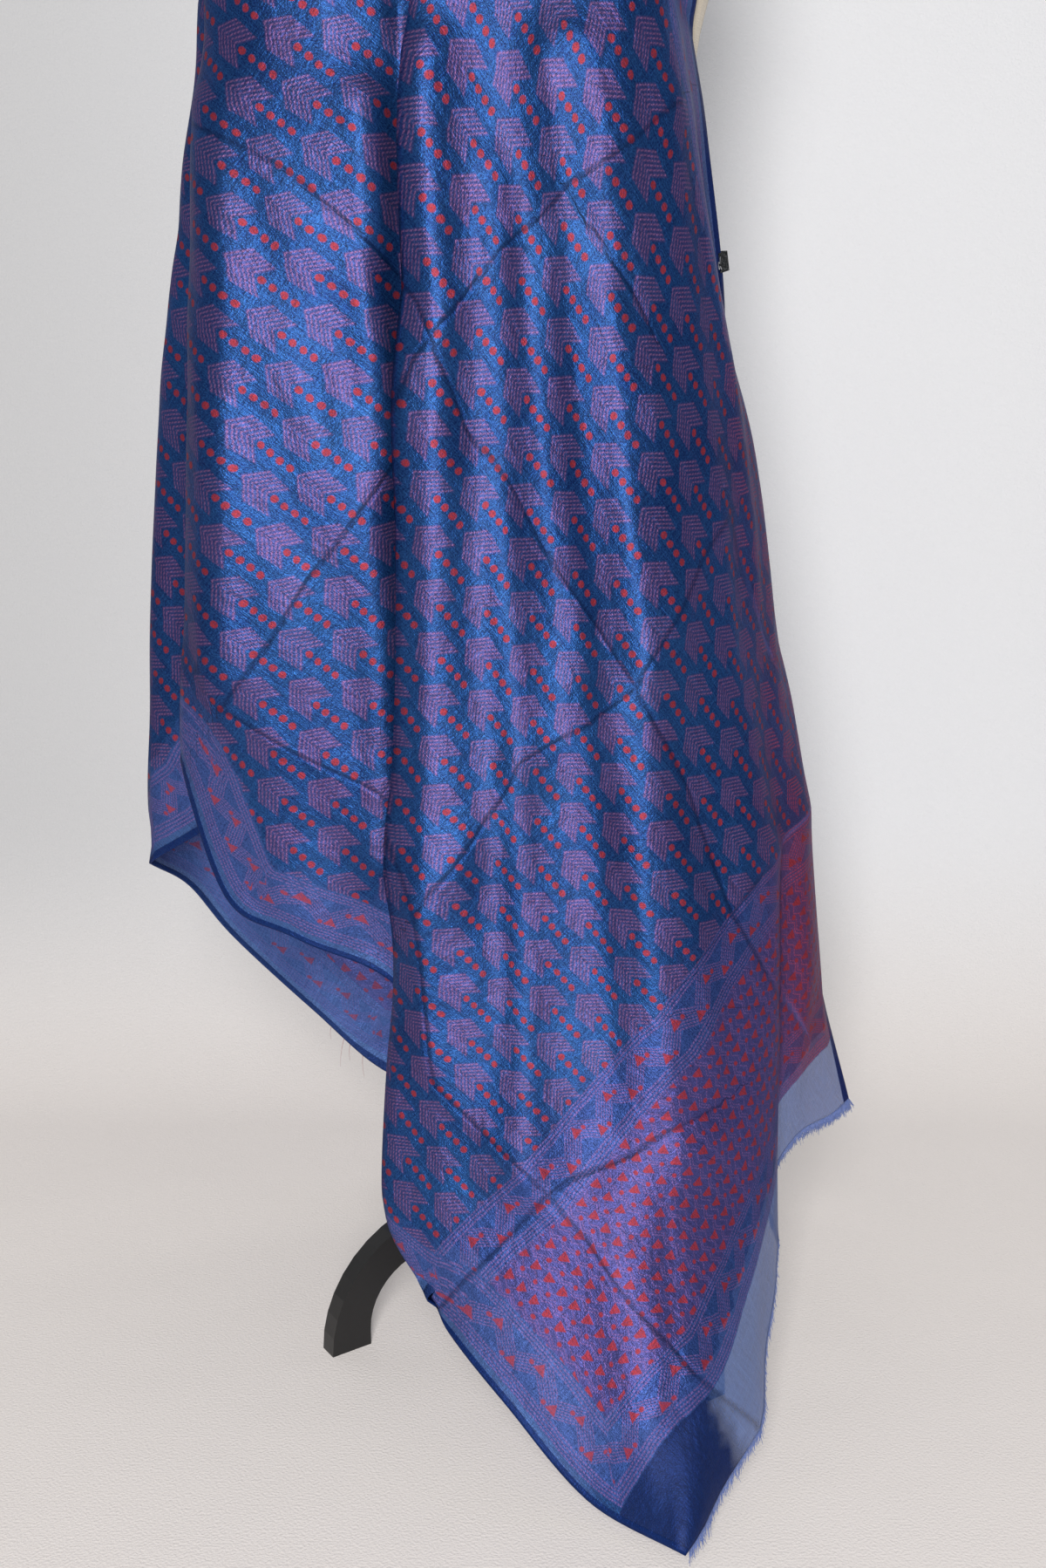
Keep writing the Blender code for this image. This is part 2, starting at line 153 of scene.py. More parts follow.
def new_material(name, **constants):
    """A material with one shader. Constants go straight into the shader's sockets."""
    mat = bpy.data.materials.new(name)
    mat.use_nodes = True
    Strand.tree = mat.node_tree
    shader = mat.node_tree.nodes["Principled BSDF"]
    for socket, value in constants.items():
        shader.inputs[socket.replace("_", " ")].default_value = value
    return mat, shader


def feed(shader, **values):
    for socket, value in values.items():
        Strand.tree.links.new(value.socket, shader.inputs[socket.replace("_", " ")])


def relief(height, distance, strength=1.0):
    """Bump from a height that runs from 0 to about 1; distance is its depth in metres."""
    return node("ShaderNodeBump", {}, {"Height": height, "Distance": distance, "Strength": strength})


def object_coordinates():
    return node("ShaderNodeTexCoord", {}, {}, output=3)


print("helpers for materials are ready")

# %% [markdown]
# ## The fall of the cloth
#
# Cloth that hangs from a shoulder is hard to model by pushing points about, and a simulation
# would not fall twice in the same way. So the fall is written down, as the fixed model has
# it. A station is a line up the cloth from its bottom edge. Each row gives its bottom point,
# then where it passes a few heights, in millimetres from the pole. Smooth curves join them.

# %% The stations of the fall
LEVELS = dict(shin=0.19, knee=0.38, waist=0.80, hip=0.966, bust=1.16)  # heights in metres
BUST = LEVELS["bust"]
FRONT = (
    dict(hem=(270, -80, 227), knee=(236, -38), waist=(156, 8), hip=(135.5, -34), bust=(99, -55)),
    dict(hem=(252, -98, 219), knee=(240, -66), waist=(171, -30), hip=(126, -46), bust=(93, -80)),
    dict(hem=(215, -122, 210), knee=(222, -110), waist=(158, -78), bust=(84, -98)),
    dict(hem=(185, -150, 173), shin=(187, -147), knee=(200, -135), waist=(142, -100), bust=(74, -110)),
    dict(hem=(194, -190, 149), shin=(192, -182), knee=(186, -172), waist=(124, -128), bust=(62, -122)),
    dict(hem=(158, -330, 58), shin=(144, -262), knee=(132, -212), waist=(98, -150), bust=(46, -131)),
    dict(hem=(94.6, -424, 10), shin=(86, -300), knee=(80, -232), waist=(70, -162), bust=(26, -134)),
    dict(hem=(22, -375, 21), shin=(18, -292), knee=(14, -226), waist=(18, -156), bust=(-14, -130)),
    dict(hem=(-46, -329, 79), shin=(-50, -276), knee=(-46, -214), waist=(-34, -150), bust=(-50, -126)),
    dict(hem=(-92, -292, 117), shin=(-106, -255), knee=(-96, -208), waist=(-88, -158), bust=(-90, -132)),
    dict(hem=(-110, -272, 132), shin=(-146.5, -222), knee=(-133, -180), waist=(-123, -144),
         bust=(-113, -126)),
    dict(hem=(-30, -186, 240), knee=(-40, -150), waist=(-72, -124), bust=(-106, -114)),
    dict(hem=(-134, -136, 356), waist=(-128, -114), bust=(-124, -112)),
    dict(hem=(-223.6, -130, 401), waist=(-205, -134), bust=(-184, -118)),
    dict(hem=(-290, -108, 432), waist=(-268, -122), bust=(-242, -104)),
    dict(hem=(-329, -75, 551), waist=(-304.5, -86), bust=(-280, -70)),
    dict(hem=(-302, -40, 490), waist=(-282, -48), bust=(-266, -40)),
    dict(hem=(-380, 0, 428), waist=(-351.5, 0), bust=(-296.5, 0)),
)
BACK = (
    dict(hem=(-355.6, 60, 386), waist=(-334, 60), bust=(-276, 50)),
    dict(hem=(-320.7, 90, 322), waist=(-290, 102), bust=(-238, 88)),
    dict(hem=(-247.7, 120, 231), knee=(-244, 122), waist=(-222, 120), bust=(-188, 106)),
    dict(hem=(-168.3, 126, 155), knee=(-160, 134), waist=(-144, 136), bust=(-128, 118)),
    dict(hem=(-85, 140, 134), knee=(-85, 144), waist=(-75, 138), bust=(-70, 116)),
    dict(hem=(-2, 143, 178), knee=(-2, 152), waist=(-8, 146), bust=(-20, 117)),
    dict(hem=(82, 124, 238), knee=(80, 130), waist=(58, 134), bust=(32, 112)),
    dict(hem=(150, 80, 300), knee=(146, 86), waist=(112, 106), bust=(74, 96)),
)
STATIONS = [{level: np.array(point) / 1000 for level, point in row.items()} for row in FRONT + BACK]
EACH = range(len(STATIONS))  # their numbers, as the keys of a curve
TIP, BACK_TIP = 6, 22  # the stations at the two lowest corners
SIDE = len(FRONT) - 1  # the station at the left side
CORNERS = (4, 5, TIP, 10, SIDE, BACK_TIP)  # stations where the bottom edge turns sharply
print(len(STATIONS), "stations")

# %% The form under the cloth
FORM = np.array((  # height, half width, half depth, how far forward its middle lies, in mm
    (800, 150, 98, 4),
    (860, 147, 101, 2),
    (970, 124, 92, 0),
    (1060, 107, 82, 4),
    (1145, 115.3, 90, 8),
    (1175, 122.5, 95, 10),
    (1250, 138, 108, 14),
    (1320, 152, 98, 8),
    (1370, 172, 78, 2),
    (1395, 168, 66, 0),
    (1415, 140, 58, 0),
    (1435, 100, 53, 0),
    (1452, 64, 51, 0),
    (1475, 54, 50, 2),
    (1530, 50, 48, 6),
)) / 1000
SKIN = 0.0032  # from the form to the middle of the cloth
SHOULDER_SKIN = 0.0068  # the same on the sloping shoulder
SHOULDER_FROM, SHOULDER_TO = 1.12, 1.28  # heights between which one becomes the other
SHOULDER_WIDEST = 1.37  # above it the form only narrows
BELOW_FORM = 0.03  # the cloth clears the form from so far below it
NECK_SIDE, SHOULDER_TIP = -0.066, -0.176  # where the cloth's edges cross the shoulder


def ramp(value, start, reach):
    """0 at a start and 1 a reach beyond it, which may be below it."""
    return np.clip((value - start) / reach, 0.0, 1.0)


def curve_weights(keys, places, corners=()):
    """Weights that pass a smooth curve through values set at rising keys."""
    table = np.zeros((len(places), len(keys)))
    for row, at in enumerate(places):
        i = max(0, min(len(keys) - 2, int(np.searchsorted(keys, at, "right")) - 1))
        span = keys[i + 1] - keys[i]
        t = (at - keys[i]) / span
        for j, value, slope in ((i, 2 * t**3 - 3 * t**2 + 1, t**3 - 2 * t**2 + t),
                                (i + 1, 3 * t**2 - 2 * t**3, t**3 - t**2)):
            low, high = (i, i + 1) if j in corners else (max(0, j - 1), min(len(keys) - 1, j + 1))
            steep = slope * span / (keys[high] - keys[low])
            table[row, j] += value
            table[row, high] += steep
            table[row, low] -= steep
    return table


FORM_Z = np.linspace(FORM[0, 0], FORM[-1, 0], 600)
FORM_FINE = curve_weights(FORM[:, 0], FORM_Z) @ FORM[:, 1:]


def form_section(z):
    """Half width, half depth and middle of the form at each of many heights."""
    return [np.interp(z, FORM_Z, FORM_FINE[:, k]) for k in range(3)]


def clear_of_form(points):
    """Moves points of the cloth out of the form, to their clearance from it."""
    x, y, z = points.T
    wide, deep, front = form_section(z)
    skin = SKIN + (SHOULDER_SKIN - SKIN) * ramp(z, SHOULDER_FROM, SHOULDER_TO - SHOULDER_FROM)
    reach = np.hypot(x / (wide + skin), (y + front) / (deep + skin))
    inside = (reach < 1.0) & (reach > 0.0) & (z > FORM[0, 0] - BELOW_FORM)
    reach = np.where(inside, reach, 1.0)
    return np.column_stack((x / reach, (y + front) / reach - front, z))


def shoulder_height(x):
    """Height of the form's shoulder at a distance from its middle."""
    upper = FORM_Z > SHOULDER_WIDEST
    return float(np.interp(-abs(x), -FORM_FINE[upper, 0], FORM_Z[upper]))


print("form is", round(2 * FORM_FINE[:, 0].max(), 3), "m wide at its widest")

# %% [markdown]
# ## A fine sheet through the stations
#
# The front has twice as many columns as the back, because its pleats are tighter. They lie
# close together beside the hems, where the cloth is rolled. Over the shoulder the front and
# back columns meet on one line, and there the cloth is gathered.

# %% Rows and columns of the fine sheet
FRONT_COLUMNS = 168  # an even number: the back has half as many
HEM_STEPS = (0.0, 0.0025, 0.0055, 0.0095, 0.0150)  # the first rows, as shares of the way up
HEM_STATIONS = 12  # stations per share, for the first columns
LOW_ROWS, TOP_ROWS = 118, 40
SPACED_AT = 0.45  # share of the way up where columns are evenly apart
CORNER_FADE = 13  # how fast the edge's corners go soft up the cloth
LEVEL_GAP = 0.012  # a level this close to the edge is passed over
SIDE_SWELL = 0.45  # how long the side keeps its width going up


def station_point(station, z):
    """Where a station passes a height, between its hem and the bust."""
    hem = station["hem"]
    keys, values = [hem[2]], [hem[:2]]
    for name, height in LEVELS.items():
        if name in station and height > hem[2] + LEVEL_GAP:
            keys.append(height)
            values.append(station[name])
    return (curve_weights(keys, [z]) @ values)[0]


def stations_at(share):
    """Where every station is, at a share of the way from its hem to the bust."""
    return np.array([station_point(s, s["hem"][2] + (BUST - s["hem"][2]) * share) for s in STATIONS])


def added_up(steps):
    """Lengths from the first point on."""
    return np.concatenate((np.zeros_like(steps[:1]), np.cumsum(steps, axis=0)))


def even_columns(first, last, count):
    """Positions from one station to another, evenly spaced along the cloth."""
    fine = np.linspace(first, last, 400)
    path = curve_weights(EACH, fine) @ stations_at(SPACED_AT)
    run = added_up(np.hypot(*np.diff(path, axis=0).T))
    return np.interp(np.linspace(0.0, run[-1], count + 1), run, fine)


first = even_columns(0, SIDE, FRONT_COLUMNS - 2)
first = np.concatenate((first[:1], np.array(HEM_STEPS[1:4]) * HEM_STATIONS, first[2:]))
columns = np.concatenate((first, even_columns(SIDE, len(STATIONS) - 1, FRONT_COLUMNS // 2)[1:]))
COUNT = len(columns)
print(COUNT, "columns, of which", FRONT_COLUMNS, "are before the left side")

# %% The grid of points
def low_rows():
    """Rows from the hem to the bust, each an array of points."""
    smooth, sharp = curve_weights(EACH, columns), curve_weights(EACH, columns, CORNERS)
    hem = sharp @ np.array([s["hem"] for s in STATIONS])
    shares = np.concatenate((HEM_STEPS, np.linspace(HEM_STEPS[-1], 1.0, LOW_ROWS)[1:]))
    rows = []
    for share in shares:
        corner = max(0.0, 1.0 - CORNER_FADE * share)
        level = (sharp * corner + smooth * (1.0 - corner)) @ stations_at(share)
        rows.append(clear_of_form(np.column_stack((level, hem[:, 2] + (BUST - hem[:, 2]) * share))))
    return rows


def ridge_line():
    """Where the columns of the front cross the shoulder, from the neck to its tip."""
    x = NECK_SIDE + (SHOULDER_TIP - NECK_SIDE) * np.arange(FRONT_COLUMNS + 1) / FRONT_COLUMNS
    z = np.array([shoulder_height(abs(v) - SHOULDER_SKIN) for v in x])
    return np.column_stack((x, 0.0 * x, z))


def ridge_number(column):
    """The ridge point that a column runs up to: two for each column of the back."""
    return column if column <= FRONT_COLUMNS else FRONT_COLUMNS - 2 * (column - FRONT_COLUMNS)


rows = low_rows()
bust_row, ridge = rows[-1], ridge_line()
over = np.array([ridge_number(c) for c in range(COUNT)])
target = ridge[over]
swell = 1.0 + SIDE_SWELL * over / FRONT_COLUMNS
for row in range(1, TOP_ROWS):
    turn = math.pi / 2 * row / TOP_ROWS
    x = bust_row[:, 0] + (target[:, 0] - bust_row[:, 0]) * math.sin(turn) ** swell
    z = bust_row[:, 2] + (target[:, 2] - bust_row[:, 2]) * math.sin(turn)
    rows.append(clear_of_form(np.column_stack((x, bust_row[:, 1] * math.cos(turn), z))))
grid = np.array(rows)
BUST_ROW, ROWS = len(rows) - TOP_ROWS, len(rows)
print("grid of", ROWS, "rows and", COUNT, "columns")

# %% [markdown]
# ## Lengths measured on the cloth
#
# The pattern lies on the cloth, not in the air, so each point is told where it lies on the
# flat cloth. The first two lengths run round and up the fall. Turned by an eighth they become
# f, across the cloth from its long hem, and w, along its warp from the raw end, because the
# cloth hangs on the bias. The back is the mirror of the front.

# %% Lengths across and along the cloth
LEAN_ROW = 16  # a column's lean is taken up to this row


def column_at(column, heights):
    """x and y of a column at given heights, carried on in a line below its hem."""
    path = grid[:BUST_ROW + 1, column]
    low, above = path[0], path[LEAN_ROW]
    below = np.minimum(heights - low[2], 0.0)
    lean = (above - low) / max(1e-6, above[2] - low[2])
    return np.array([np.interp(heights, path[:, 2], path[:, k]) + below * lean[k] for k in (0, 1)]).T


heights = np.linspace(0.0, BUST, 200)
spread = np.array([column_at(c, heights) for c in range(COUNT)])
steps = np.hypot(*np.moveaxis(np.diff(spread, axis=0), 2, 0))
tip_column = int(np.argmin(abs(columns - TIP)))
back_column = int(np.argmin(abs(columns - BACK_TIP)))
around = added_up(steps)
across = -(around - around[tip_column])
across[FRONT_COLUMNS:] = across[FRONT_COLUMNS] + (around[FRONT_COLUMNS:] - around[FRONT_COLUMNS])
run = added_up(np.linalg.norm(np.diff(grid, axis=0), axis=2))
up = run - run[BUST_ROW] + run[BUST_ROW, tip_column]
level = np.array([np.interp(np.minimum(grid[:, c, 2], BUST), heights, across[c]) for c in range(COUNT)]).T
level[BUST_ROW:] = level[BUST_ROW]
F = (level + up) / math.sqrt(2)
W = (up - level) / math.sqrt(2)
print("across the cloth", round(float(F.min()), 3), "to", round(float(F.max()), 3))

# %% [markdown]
# ## Creases and borders as distances
#
# The cloth was stored folded, so sharp creases cross it in two directions, and borders follow
# its edges. Both need a fine line on a sheet whose points lie several millimetres apart. So
# each point stores how far it lies from the nearest crease or edge, the surface blends that
# evenly between points, and the material draws the thin line. Along a crease that line is
# painted shade, turning to a painted highlight on the right of the cloth.

# %% Distance to a line of points
FAR = 9.0  # stands for no line near


def along_line(points, line):
    """Distance to a line, side of it, and length along it, for many flat points."""
    best = np.full(len(points), FAR)
    side, length, run = np.zeros(len(points)), np.zeros(len(points)), 0.0
    for start, end in zip(line, line[1:]):
        step = end - start
        size = float(np.hypot(*step))
        if size < 1e-9:
            continue
        share = np.clip((points - start) @ step / size**2, 0.0, 1.0)
        apart = points - start - share[:, None] * step
        distance = np.hypot(*apart.T)
        near = distance < best
        best = np.where(near, distance, best)
        side = np.where(near, np.sign(step[0] * apart[:, 1] - step[1] * apart[:, 0]), side)
        length = np.where(near, run + share * size, length)
        run += size
    return best, side, length


# %% Creases as seen from the front
CREASE_DEPTH, CREASE_REACH, CREASE_ROUND = 0.0058, 0.030, 0.0025
CREASE_SEEN = 0.2  # the greatest distance that is stored for a crease
LOOSE_COLUMNS = 6  # columns beside the left side without crease or fold
FLAT_FRONT = grid[:, :, (0, 2)].reshape(-1, 2)  # every point as x and height

# How far each crease rises (1) or sinks (-1), and its points: x from the pole and height, in mm
WARP_CREASES = (
    (-0.7, (
        (-290, 1072), (-256, 1055), (-213, 1032), (-153, 980), (-130, 957), (-112, 938), (-74, 837),
        (-39, 794), (-3, 724), (32, 680), (60, 637), (104, 554), (140, 448), (165, 409), (188, 371),
        (222, 309))),
    (-1, ((21, 992), (38, 967), (56, 941), (75, 907))),
    (-1, ((140, 768), (162, 699), (187, 644))),
    (1, (
        (-280, 605), (-245, 583), (-216, 566), (-157, 538), (-134, 521), (-112, 449), (-101, 307),
        (-57, 270), (-20, 242), (-8, 232), (25, 196), (48, 167), (74, 143), (103, 112), (137, 79),
        (154, 61))),
)
CROSS_CREASES = (
    (1, (
        (-280, 605), (-251, 645), (-202, 720), (-159, 779), (-133, 812), (-112, 892), (-96, 912), (-53, 968),
        (-18, 997), (5, 1019), (39, 1039), (81, 1080))),
    (1, (
        (-112, 449), (-85, 489), (-31, 573), (20, 605), (60, 637), (89, 689), (113, 736), (140, 768))),
    (-1, (
        (-105, 130), (-83, 157), (-38, 203), (-8, 232), (9, 245), (58, 267), (87, 283), (123, 296))),
    (1, ((140, 448), (166, 476), (212, 501))),
)


def tent(distance, reach, rounding):
    """The cross section of a fold: a rounded ridge with straight falling sides."""
    return np.exp(-(np.sqrt(distance**2 + rounding**2) - rounding) / reach)


def front_only(values, elsewhere=0.0):
    """Values as rows and columns, with another value past the front."""
    values = values.reshape(ROWS, COUNT)
    values[:, FRONT_COLUMNS - LOOSE_COLUMNS:] = elsewhere
    return values


def crease_distance(creases):
    """Signed distance to the nearest crease, and how far all creases rise, at each point."""
    best, signed, tents = FAR, FAR, 0.0
    for rise, line in creases:
        distance, side, _ = along_line(FLAT_FRONT, np.array(line) / 1000)
        signed = np.where(distance < best, distance * side, signed)
        best = np.minimum(best, distance)
        tents = tents + rise * tent(distance, CREASE_REACH, CREASE_ROUND)
    return np.clip(front_only(signed, FAR), -CREASE_SEEN, CREASE_SEEN), front_only(tents)


warp_crease, warp_tents = crease_distance(WARP_CREASES)
cross_crease, cross_tents = crease_distance(CROSS_CREASES)
print("creases:", len(WARP_CREASES), "along the warp and", len(CROSS_CREASES), "across it")

# %% Distance to the hems and to the raw ends
HEM_HIDDEN = (0.22, 0.93)  # heights between which the front hem is turned in behind
HIDDEN_PUSH = 0.2  # added to the distance there, so that it gets no border
FLAT_DRIFT = 0.45  # how much the fall stretches the cloth away from its long hem
DRIFT_F, DRIFT_W = 0.12, 0.5  # past this f it stretches, about this w
LEFT_TURN, LEFT_W = 0.13, 0.8  # how far the left panel hangs turned, and about which w
LEFT_WIDE, LEFT_LEAN = 0.76, 0.047  # there the bias is pulled wider, and leans a little
LEFT_F = 0.30  # the f that stays in place as it does
LEFT_FROM, LEFT_TO = 10.3, 11.8  # stations between which it lies behind the pleat
DOUBLED_RUN, DOUBLED_DEEP = 0.095, 0.10  # size of the corner that hangs doubled

in_left = ramp(columns, LEFT_FROM, LEFT_TO - LEFT_FROM)
pulled = in_left * (F - LEFT_F)
drift = -FLAT_DRIFT * np.maximum(0.0, F - DRIFT_F) * (W - DRIFT_W) * (1.0 - in_left)
weave_f, weave_w = F + drift - (1.0 - LEFT_WIDE) * pulled, W + LEFT_LEAN * pulled
F = F + drift + LEFT_TURN * (W - LEFT_W) * in_left


def edge_lengths(line, half):
    """Distance to an edge and length along it, for one half of the cloth."""
    flat = np.column_stack((F[:, half].ravel(), W[:, half].ravel()))
    distance, _, length = along_line(flat, np.array([(F[r, c], W[r, c]) for r, c in line]))
    shape = F[:, half].shape
    return distance.reshape(shape), length.reshape(shape)


hem_from, hem_run, roll_from, end_from, end_run = (np.zeros((ROWS, COUNT)) for _ in range(5))
front, back = slice(0, FRONT_COLUMNS + 1), slice(FRONT_COLUMNS, COUNT)
for half, long_hem, raw_end, side_hem in (
        (front, range(tip_column, FRONT_COLUMNS + 1), range(tip_column, -1, -1), 0),
        (back, range(back_column, FRONT_COLUMNS - 1, -1), range(back_column, COUNT), COUNT - 1)):
    low_from, low_run = edge_lengths([(0, c) for c in long_hem], half)
    side_from, side_run = edge_lengths([(r, side_hem) for r in range(ROWS)], half)
    hidden = 0.0
    if half is front:
        height = np.interp(side_run, np.maximum.accumulate(side_run[:, 0]), grid[:, 0, 2])
        hidden = ramp(height, HEM_HIDDEN[0], 0.06) * ramp(height, HEM_HIDDEN[1], -0.03)
    roll_from[:, half] = np.minimum(low_from, side_from)
    side_from = side_from + HIDDEN_PUSH * hidden
    hem_from[:, half] = np.minimum(low_from, side_from)
    hem_run[:, half] = np.where(low_from < side_from, low_run, side_run)
    end_from[:, half], end_run[:, half] = edge_lengths([(0, c) for c in raw_end], half)
doubled = ramp(end_run, DOUBLED_RUN, -0.012) * ramp(end_from, DOUBLED_DEEP, -0.02)
doubled[:, back] = 0.0  # only the corner by the front tip hangs doubled
print("raw end is", round(float(end_run[:, front].max()), 3), "m long as it hangs")

# %% [markdown]
# ## Soft relief
#
# Creases stay proud or sunk on the hanging cloth, soft folds run down it, and thin silk under
# stitches never hangs quite smooth. All are small moves of the points along the surface's own
# direction: a tent over each crease and fold, long ripples, and gathers that deepen towards
# the shoulder, where a wide cloth is crowded into a narrow line. The low corner in front
# hangs plainer, so its depth is evened out.

# %% Soft folds down the front
# How far each stands out, how far it reaches, half its flat top (m), and its points (mm)
SOFT_FOLDS = (
    (0.0095, 0.016, 0.002, (
        (-103, 1116), (-99, 990), (-98, 904), (-99, 819), (-102, 640), (-104, 544), (-105, 403),
        (-107, 330))),
    (0.0085, 0.016, 0.003, (
        (-53, 1029), (-49, 964), (-46, 816), (-43, 727), (-36, 591), (-32, 452), (-27, 316), (-26, 240))),
    (0.0125, 0.022, 0.014, (
        (5, 1110), (12, 1078), (18, 1014), (26, 904), (37, 773), (53, 657), (60, 594), (76, 503), (98, 383),
        (112, 278))),
    (-0.0050, 0.016, 0.004, ((-73, 990), (-70, 819), (-67, 640), (-64, 545), (-63, 442))),
    (-0.0080, 0.018, 0.006, (
        (-20, 1003), (-16, 904), (-6, 819), (3, 728), (8, 641), (18, 547), (26, 446), (34, 363), (38, 290))),
    (0.0150, 0.020, 0.004, ((-152, 1080), (-150, 860), (-150, 640), (-150, 480))),
    (0.0130, 0.018, 0.006, ((-268, 1080), (-274, 860), (-282, 640))),
)
FOLD_ROUND = 0.3  # how round a fold's top is, as a share of its reach
# The groove beside the deep pleat is sunk only in the left panel
BESIDE_PLEAT = (-0.012, 0.014, 0.0, ((-124, 1150), (-122, 900), (-120, 640), (-118, 430)))


def one_fold(rise, reach, top, line):
    """How far one soft fold moves each point."""
    distance = np.maximum(along_line(FLAT_FRONT, np.array(line) / 1000)[0] - top, 0.0)
    return (rise * tent(distance, reach, FOLD_ROUND * reach)).reshape(ROWS, COUNT)


soft_folds = front_only(sum(one_fold(*fold) for fold in SOFT_FOLDS) + one_fold(*BESIDE_PLEAT) * in_left)
print("soft folds move points by up to", round(1000 * float(abs(soft_folds).max()), 1), "mm")

# %% Moving the points
RIPPLE, GATHERS, GATHER_DEPTH, SHOULDER_LIFT = 0.0034, 9, 0.0075, 0.0015
GATHERS_FROM, GATHERS_REACH = 1.10, 0.33  # height where they start, and up to full depth
FLAT_EDGE = 10.0  # shoulder points over which a gather dies out
WAVES, WAVE_SHORT, WAVE_LONG = 14, 0.045, 0.13


def outward(points):
    """Unit normals of the grid, away from the form."""
    normal = np.cross(*np.gradient(points, axis=(0, 1)))
    return normal / np.maximum(1e-9, np.linalg.norm(normal, axis=2))[:, :, None]


def ripples():
    """Long soft ripples that run down the cloth, and shallower ones across its warp."""
    random.seed(5)
    total = np.zeros((ROWS, COUNT))
    for _ in range(WAVES):
        angle = random.gauss(0.15, 0.35)
        length = random.uniform(WAVE_SHORT, WAVE_LONG)
        turn = math.tau / length
        along = level * math.cos(angle) + up * math.sin(angle) * 0.4
        wave = np.sin(turn * along + random.uniform(0, 6.3))
        slow = np.sin(9.0 * up + random.uniform(0, 6.3)) * np.sin(7.0 * level + random.uniform(0, 6.3))
        total += wave * (0.5 + 0.5 * slow) * length / WAVE_LONG
    return total / 3.0


# %% An even low corner, and all moves together
EVEN_COLUMNS, EVEN_SPREAD = 12, 5.0  # how many columns are evened out, and how softly
EVEN_BELOW, EVEN_REACH, EVEN_MOST = 0.28, 0.12, 0.8  # below which height, and how much


def softer_corner(points):
    """Depths of the points, evened out sideways in the low corner of the front."""
    depth, wide = points[:, :, 1], np.arange(-EVEN_COLUMNS, EVEN_COLUMNS + 1)
    bell = np.exp(-0.5 * (wide / EVEN_SPREAD)**2)
    bell /= bell.sum()
    wider = np.pad(depth, ((0, 0), (EVEN_COLUMNS, EVEN_COLUMNS)), mode="edge")
    even = np.array([np.convolve(row, bell, mode="valid") for row in wider])
    share = np.minimum(ramp(points[:, :, 2], EVEN_BELOW, -EVEN_REACH), EVEN_MOST)
    share = front_only(share * ramp(np.minimum(roll_from, end_from), 0.010, 0.050))
    return depth + (even - depth) * share


height_share = ramp(grid[:, :, 2], GATHERS_FROM, GATHERS_REACH)
gather = over / FRONT_COLUMNS * GATHERS
fold = 0.5 + 0.5 * np.cos(math.tau * (gather + 0.15 * np.sin(math.tau * gather / 3.0)))
fold *= ramp(np.minimum(over, FRONT_COLUMNS - over), 0.0, FLAT_EDGE)
move = CREASE_DEPTH * (cross_tents + warp_tents) * (1.0 - 0.6 * in_left) + soft_folds
move += RIPPLE * ripples() * (1.0 - 0.6 * height_share) * np.clip(hem_from / 0.02, 0.3, 1.0)
move += GATHER_DEPTH * height_share**1.5 * fold + SHOULDER_LIFT * height_share
sheet = grid + outward(grid) * move[:, :, None]
sheet[:, :, 1] = softer_corner(sheet)
sheet = np.array([clear_of_form(row) for row in sheet])
ridge_top = ridge.copy()
ridge_top[:, 2] += GATHER_DEPTH * fold[:FRONT_COLUMNS + 1] + SHOULDER_LIFT
print("points moved by up to", round(1000 * float(abs(move).max()), 1), "mm")

# %% Making the sheet
HEM_THICK, CLOTH_THICK = 0.0014, 0.0006


def put(name, data):
    made = bpy.data.objects.new(name, data)
    bpy.context.scene.collection.objects.link(made)
    return made


def sheet_faces():
    """Faces of the grid, turned outwards, closed over the shoulder."""
    faces = [(a, a + COUNT, a + COUNT + 1, a + 1)
             for row in range(ROWS - 1) for a in range(row * COUNT, row * COUNT + COUNT - 1)]
    top, first = (ROWS - 1) * COUNT, ROWS * COUNT
    for column in range(COUNT - 1):
        left, right = over[column], over[column + 1]
        step = 1 if right > left else -1
        shoulder = range(first + left, first + right + step, step)
        faces.append((top + column, *shoulder, top + column + 1))
    return faces


points = np.concatenate((sheet.reshape(-1, 3), ridge_top)) + np.array(POLE)
mesh = bpy.data.meshes.new("dupatta_silk")
mesh.from_pydata(points.tolist(), [], sheet_faces())
mesh.shade_smooth()
corner = np.zeros(len(mesh.loops), dtype=int)
mesh.loops.foreach_get("vertex_index", corner)
for name, pair in dict(Cloth=(weave_f, weave_w), Hem=(hem_from, hem_run), End=(end_from, end_run),
                       Roll=(roll_from, doubled), Crease=(warp_crease, cross_crease)).items():
    # each UV map holds two lengths; the points on the shoulder line take those of the top row
    lengths = np.array([np.append(values.ravel(), values[-1, :FRONT_COLUMNS + 1]) for values in pair]).T
    mesh.uv_layers.new(name=name).data.foreach_set("uv", lengths[corner].ravel())
dupatta = put("dupatta_silk", mesh)
print(len(mesh.polygons), "faces in the sheet")

# %% Thickness, with a rolled hem
ROLLED = 0.0045  # the outer strip of the hem that is rolled and thick
ZONES = ("field", "worked", "sheer")  # each is one material, on both sides of the cloth
SHEER_HEM, SHEER_END, SHEER_ROLL, WORKED_END = 0.068, 0.075, 0.012, 0.30
in_sheer = (hem_from < SHEER_HEM) | (end_from < SHEER_END) | (roll_from < SHEER_ROLL)
zone = np.where(in_sheer, 2, np.where(end_from < WORKED_END, 1, 0))[:-1, :-1].ravel()
for _ in range(2 * len(ZONES)):
    dupatta.data.materials.append(None)
indices = np.zeros(len(dupatta.data.polygons), dtype=np.int32)
indices[:len(zone)] = zone
dupatta.data.polygons.foreach_set("material_index", indices)
group = dupatta.vertex_groups.new(name="rolled hem")
rolled = np.append(roll_from.ravel(), np.full(FRONT_COLUMNS + 1, FAR)) < ROLLED
group.add(np.flatnonzero(rolled).tolist(), 1.0, "REPLACE")
group.add(np.flatnonzero(~rolled).tolist(), CLOTH_THICK / HEM_THICK, "REPLACE")
